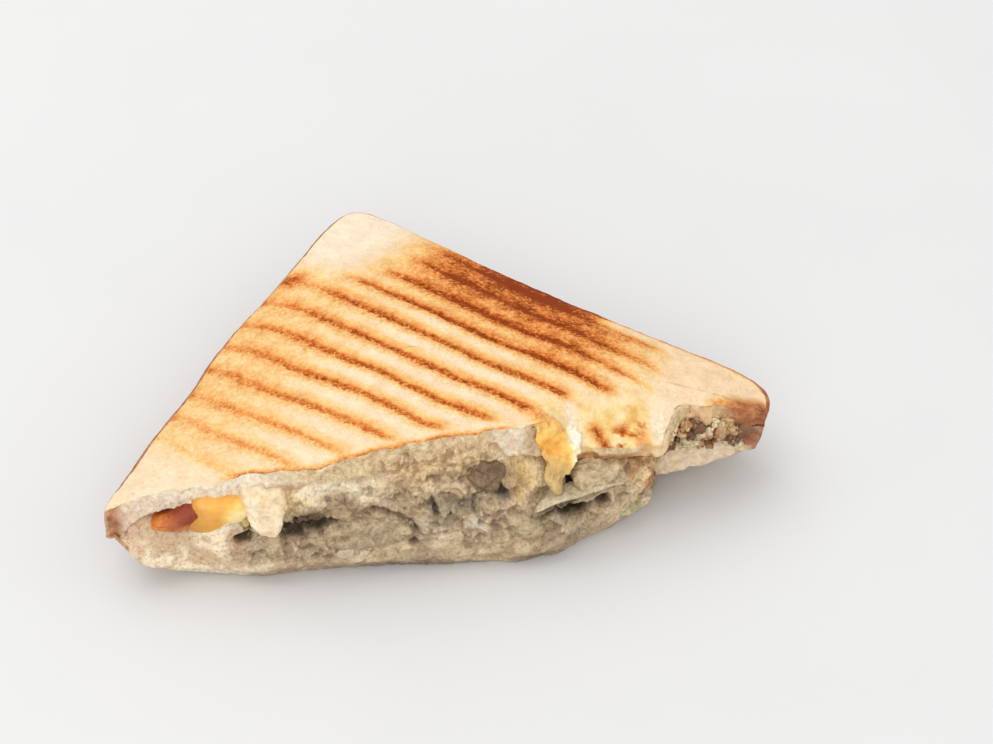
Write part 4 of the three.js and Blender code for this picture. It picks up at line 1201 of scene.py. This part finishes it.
# Broad browning: each place is named for what it is, and how strong it is stands in the sums below.
patches = clouds(flat, 9, 411, 3)
beside_cut = y - top_cut(x) + 1.2 * patches
left_leg = (1 - smooth(-50, -20, along)) * between(across, -36, 36, 12)
band = smooth(25, 42, across + 2.5 * patches) * smooth(-50, -27, along) * (1 - smooth(2, 30, along))
haze = bell(along, -46.5, 5.5) * between(across, 28, 43, 5)
rim_scorch = smooth(50.5, 54, across) * between(along, -26, 8, 8)
scorch = smooth(40, 48, across + 2.0 * patches) * smooth(-40, -26, along) * (1 - smooth(-6, 20, along))
pale_rim = smooth(49, 54, across - 0.10 * along + patches) * smooth(-8, 8, along)
pale_corner = smooth(27, 36, across) * (1 - smooth(-50, -40, along))
right_face = smooth(16, 28, along) * smooth(38, 46, across)
leg_rim = bell(right_leg_away, 1.9 + 0.5 * patches, 0.8) * smooth(-30, -15, along)
corner_spot = spot(along, across, -57, 24.5, 3.0, 2.6)
toast = 0.08 + 0.17 * left_leg + (0.48 * band + 0.20 * scorch) * (1 - pale_rim)
toast = toast + 0.5 * corner_spot + 0.5 * leg_rim + 0.07 * haze + 0.36 * rim_scorch + 0.03 * right_face
toast = toast * (1 - 0.8 * pale_corner)

# Beside the cut: a dark streak, golden crumbs and a white run on the lip, with cheese melted between.
streak = bell(x - 0.45 * (0.5 - y) - 0.5 * patches, 31.9, 1.9) * between(y, -10.8, 0.5, 3)
edge_line = bell(y, top_cut(x), 1.1) * between(x, -48, 18, 8)
lip_crumbs = between(x, 35, 47.5, 3) * (1 - smooth(1.2, 5.0, beside_cut))
lip_crumbs = lip_crumbs * smooth(-0.25, 0.3, clouds(flat, 2.2, 441, 3))
lip_browned = 0.8 * between(x, 40, 46, 2.5) * (1 - smooth(0.2, 3.0, beside_cut))
lip_orange = np.maximum(lip_crumbs, lip_browned)
golden_spot = spot(x + 0.5 * (y + 1), y, 22.2, -0.5, 3.2, 4.0)
right_tip_edge = smooth(57, 63, x) * (1 - smooth(0.5, 4, beside_cut))
melt = between(x, 19, 49, 5) * (1 - smooth(5, 11, y - top_cut(x) + 2.5 * patches))
toast = toast * (1 - 0.6 * melt) + 0.75 * streak + 0.4 * golden_spot + 0.5 * edge_line
toast = toast + 0.75 * lip_orange + 0.4 * right_tip_edge
lip_corner = between(x, 44.5, 50, 2) * (1 - smooth(2, 6, beside_cut)) * upper_share
white_run = bell(x - 0.12 * (y + 1), 28.6, 1.4) * between(y, -7.5, 5, 3) * upper_share
melt_shown = 0.9 * melt * (1 - streak) * (1 - golden_spot) * (1 - lip_corner) * (1 - white_run)

# The cut face: crumb, stained by sauce from the left third on, torn at the right, crust at both tips.
torn_face = cut_share * smooth(49, 54, x)
torn_by = 0.9 * torn_face * (1 - smooth(64, 68, x)) * clouds(flat, 2.0, 431, 3)
rows = rows + ways_out(rows) * torn_by[..., None]
torn_tan = smooth(49, 54, x) * (0.55 + 0.8 * clouds(flat, 1.8, 421, 3)).clip(0.15, 0.95)
stained = smooth(-38, -28, x) * (1 - smooth(60, 72, x))
# Painted highlight: round x 14.6 the cut face keeps less of the sauce's stain, so its crumb shows whiter.
painted_gleam = np.exp(-(((x - 14.6) / 4.0) ** 4)) * cut_share
lip_crumbly = cut_share * between(x, 40, 49, 2)
tip_crust = smooth(60, 65, x + 2 * patches) + (1 - smooth(-70.0, -65.5, x + 1.5 * patches))
tip_crust = np.minimum(1, tip_crust + 0.12 * (1 - smooth(-66, -56, x + 2 * patches)))
tip_spots = smooth(62.5, 66, x + 1.2 * patches) * (1 - smooth(1.0, 4.5, beside_cut))
lip_edge = cut_share * between(x, 26, 43, 3) * smooth(0.40, 0.7, down)[:, None]
fold_line = cut_share * between(x, -42, -27, 4) * smooth(0.40, 0.75, down)[:, None]
sauce_share = (0.97 * cut_share - 0.5 * torn_face) * stained * (1 - 0.85 * painted_gleam) * (1 - 0.6 * lip_crumbly)
top_values = {
    "melt": melt_shown * (1 - lip_orange),
    "stripe": phase,
    "grilled": grilled * upper_share * (1 - melt),
    "toast": toast * upper_share + 0.1 * (1 - upper_share) + 0.15 * torn_face + 0.4 * lip_crumbly,
    "crumb": cut_share * 0.95 - 0.7 * torn_face - 0.6 * lip_crumbly + 0.8 * lip_corner + 0.7 * white_run,
    "sauce": sauce_share,
    "crust": np.maximum.reduce([
        crust_share,
        0.9 * cut_share * tip_crust,
        0.95 * tip_spots,
        0.25 * cut_share * torn_tan,
        0.75 * lip_edge,
        0.55 * fold_line,
    ]),
}
bread_top = closed_piece("bread_top_slice", rows, top_values)
grill_toast = bread_finish(
    "grilled_loaf", (252, 231, 206), (249, 205, 137), (240, 166, 92), (216, 120, 50), (146, 60, 10)
)
settle(bread_top, grill_toast, "bread_top")

# Crumbs: bits of toast and filling that have fallen into the gap at the right tip, browned and pale,
# four larger ones among many small.
LARGE_CRUMBS = {"count": 4, "size": 1.6, "x": 48.5, "apart": 3, "y": -0.6, "z": 17.1, "waver": 0.7}
SMALL_CRUMBS = {"count": 460, "least": 0.3, "more": 0.85, "x": 46, "wide": 20, "y": -4.4, "deep": 4.6}
CRUMB_FINE = (9, 14)  # rows in a crumb and points round each
CRUMB_TONES = [
    (236, 212, 176), (214, 178, 130), (158, 114, 76), (222, 210, 172), (196, 152, 106), (118, 84, 56)
]


def tumbled(places, sizes, seed):
    """Many small uneven balls in one array of bodies, each stretched and turned its own way."""
    order = np.arange(len(places))
    key = np.stack([order, 0 * order, 0 * order], -1)
    turn = FULL_TURN * chance(key, seed)
    stretch = np.stack([0.75 + 0.6 * chance(key, seed + k) for k in (1, 2, 3)], -1) * sizes[:, None]
    bodies = ball_rows(CRUMB_FINE)[None] * stretch[:, None, None]
    uneven = 0.8 * clouds(bodies * 1.6 + places[:, None, None] * 3, 1.1, seed + 4, 2)
    bodies = bodies * (1 + uneven)[..., None]
    turned = turned_axes(bodies[..., 0], bodies[..., 1], -turn[:, None, None])
    return np.stack([*turned, bodies[..., 2]], -1) + places[:, None, None]


order = np.arange(LARGE_CRUMBS["count"])
large_x = LARGE_CRUMBS["x"] + LARGE_CRUMBS["apart"] * order
large_y = LARGE_CRUMBS["y"] + LARGE_CRUMBS["waver"] * np.sin(2.1 * order)
large_z = LARGE_CRUMBS["z"] + LARGE_CRUMBS["waver"] * np.cos(2.6 * order)
order = np.arange(SMALL_CRUMBS["count"])
small_x = SMALL_CRUMBS["x"] + SMALL_CRUMBS["wide"] * fraction(0.13 + order * 0.618)
small_y = SMALL_CRUMBS["y"] + SMALL_CRUMBS["deep"] * fraction(0.7 + order * 0.7549)
gap_low, gap_high = (stack(small_x, small_y)[height] for height in ("middle_high", "top_low"))
small_z = mix(gap_low + 0.2, gap_high + 0.6, fraction(order * 0.5698))
small_sizes = SMALL_CRUMBS["least"] + SMALL_CRUMBS["more"] * fraction(order * 0.317) ** 2
places = np.concatenate([
    np.stack([large_x, large_y, large_z], -1),
    np.stack([small_x, small_y, small_z], -1),
])
sizes = np.concatenate([np.full(LARGE_CRUMBS["count"], LARGE_CRUMBS["size"]), small_sizes])
bodies = tumbled(places, sizes, 501)
tones = np.array([linear(*tone) for tone in CRUMB_TONES])
picked = tones[np.arange(len(places)) * 5 % len(CRUMB_TONES)]
tone = np.broadcast_to(picked[:, None, None], bodies.shape).copy()
settle(closed_piece("tip_crumbs", bodies, {"tone": tone}), creamy_filling)

# Floor, light and camera: a plain pale table under soft white studio light, seen from above the cut.
# The camera was fitted to the slice's square corner and to the level table.
CAMERA_AIM = np.array([0.0, 25.0, 12.0])
CAMERA_TURN = math.radians(-14.446)
CAMERA_RISE = math.radians(45.364)
CAMERA_AWAY = 0.800
PHOTO_WIDE = 993
PHOTO_HIGH = 744
PIXELS_LONG = 3693.6  # the lens's length in the photo's pixels
PICTURE_MIDDLE = (409.368, 413.294)  # where the lens's axis meets the photo, in its pixels
SENSOR_WIDE = 36.0
FLOOR_HALF = 4.0
LIGHTS = [  # name, place in metres, side, power, colour
    ("light_above", (-0.35, 0.35, 1.1), 1.2, 6.7, (1.0, 0.99, 0.97)),
    ("light_front", (-0.4, -1.0, 0.6), 1.0, 4.7, (1.0, 1.0, 1.0)),
]
AROUND_LIGHT = 0.95


def look_along(thing, way):
    """Turns a camera or a lamp so that it looks along a way."""
    thing.rotation_mode = "QUATERNION"
    thing.rotation_quaternion = way.to_track_quat("-Z", "Y")


camera_data = bpy.data.cameras.new("camera")
camera_data.sensor_width = SENSOR_WIDE
camera_data.lens = PIXELS_LONG * SENSOR_WIDE / PHOTO_WIDE
camera_data.shift_x = (PHOTO_WIDE / 2 - PICTURE_MIDDLE[0]) / PHOTO_WIDE
camera_data.shift_y = (PICTURE_MIDDLE[1] - PHOTO_HIGH / 2) / PHOTO_WIDE
camera = put_in_scene("camera", camera_data)
backwards = Vector((
    math.sin(CAMERA_TURN) * math.cos(CAMERA_RISE),
    -math.cos(CAMERA_TURN) * math.cos(CAMERA_RISE),
    math.sin(CAMERA_RISE),
))
camera.location = Vector(into_row(CAMERA_AIM)) + backwards * CAMERA_AWAY
look_along(camera, -backwards)
bpy.context.scene.camera = camera

floor_mesh = bpy.data.meshes.new("floor")
sides = ((-1, -1), (1, -1), (1, 1), (-1, 1))
corners = [(FLOOR_HALF * side_x, FLOOR_HALF * side_y, 0) for side_x, side_y in sides]
floor_mesh.from_pydata(corners, [], [(0, 1, 2, 3)])
floor = put_in_scene("floor", floor_mesh)
table = Finish("pale_table", Roughness=0.7, Specular_IOR_Level=0.2)
table_colour = table.ramp(table.noise(60, 2, 0.5), [(0.3, (207, 207, 207)), (0.7, (209, 209, 209))])
floor.data.materials.append(table.put(Base_Color=table_colour))

for name, place, side, power, colour in LIGHTS:
    lamp_data = bpy.data.lights.new(name, "AREA")
    lamp_data.size = side
    lamp_data.energy = power
    lamp_data.color = colour
    lamp = put_in_scene(name, lamp_data)
    lamp.location = place
    look_along(lamp, -Vector(place))

world = bpy.data.worlds.new("studio")
world.use_nodes = True
world.node_tree.nodes["Background"].inputs["Color"].default_value = (1.0, 1.0, 1.0, 1)
world.node_tree.nodes["Background"].inputs["Strength"].default_value = AROUND_LIGHT
bpy.context.scene.world = world
bpy.context.scene.view_settings.view_transform = "Standard"

bpy.context.view_layer.update()
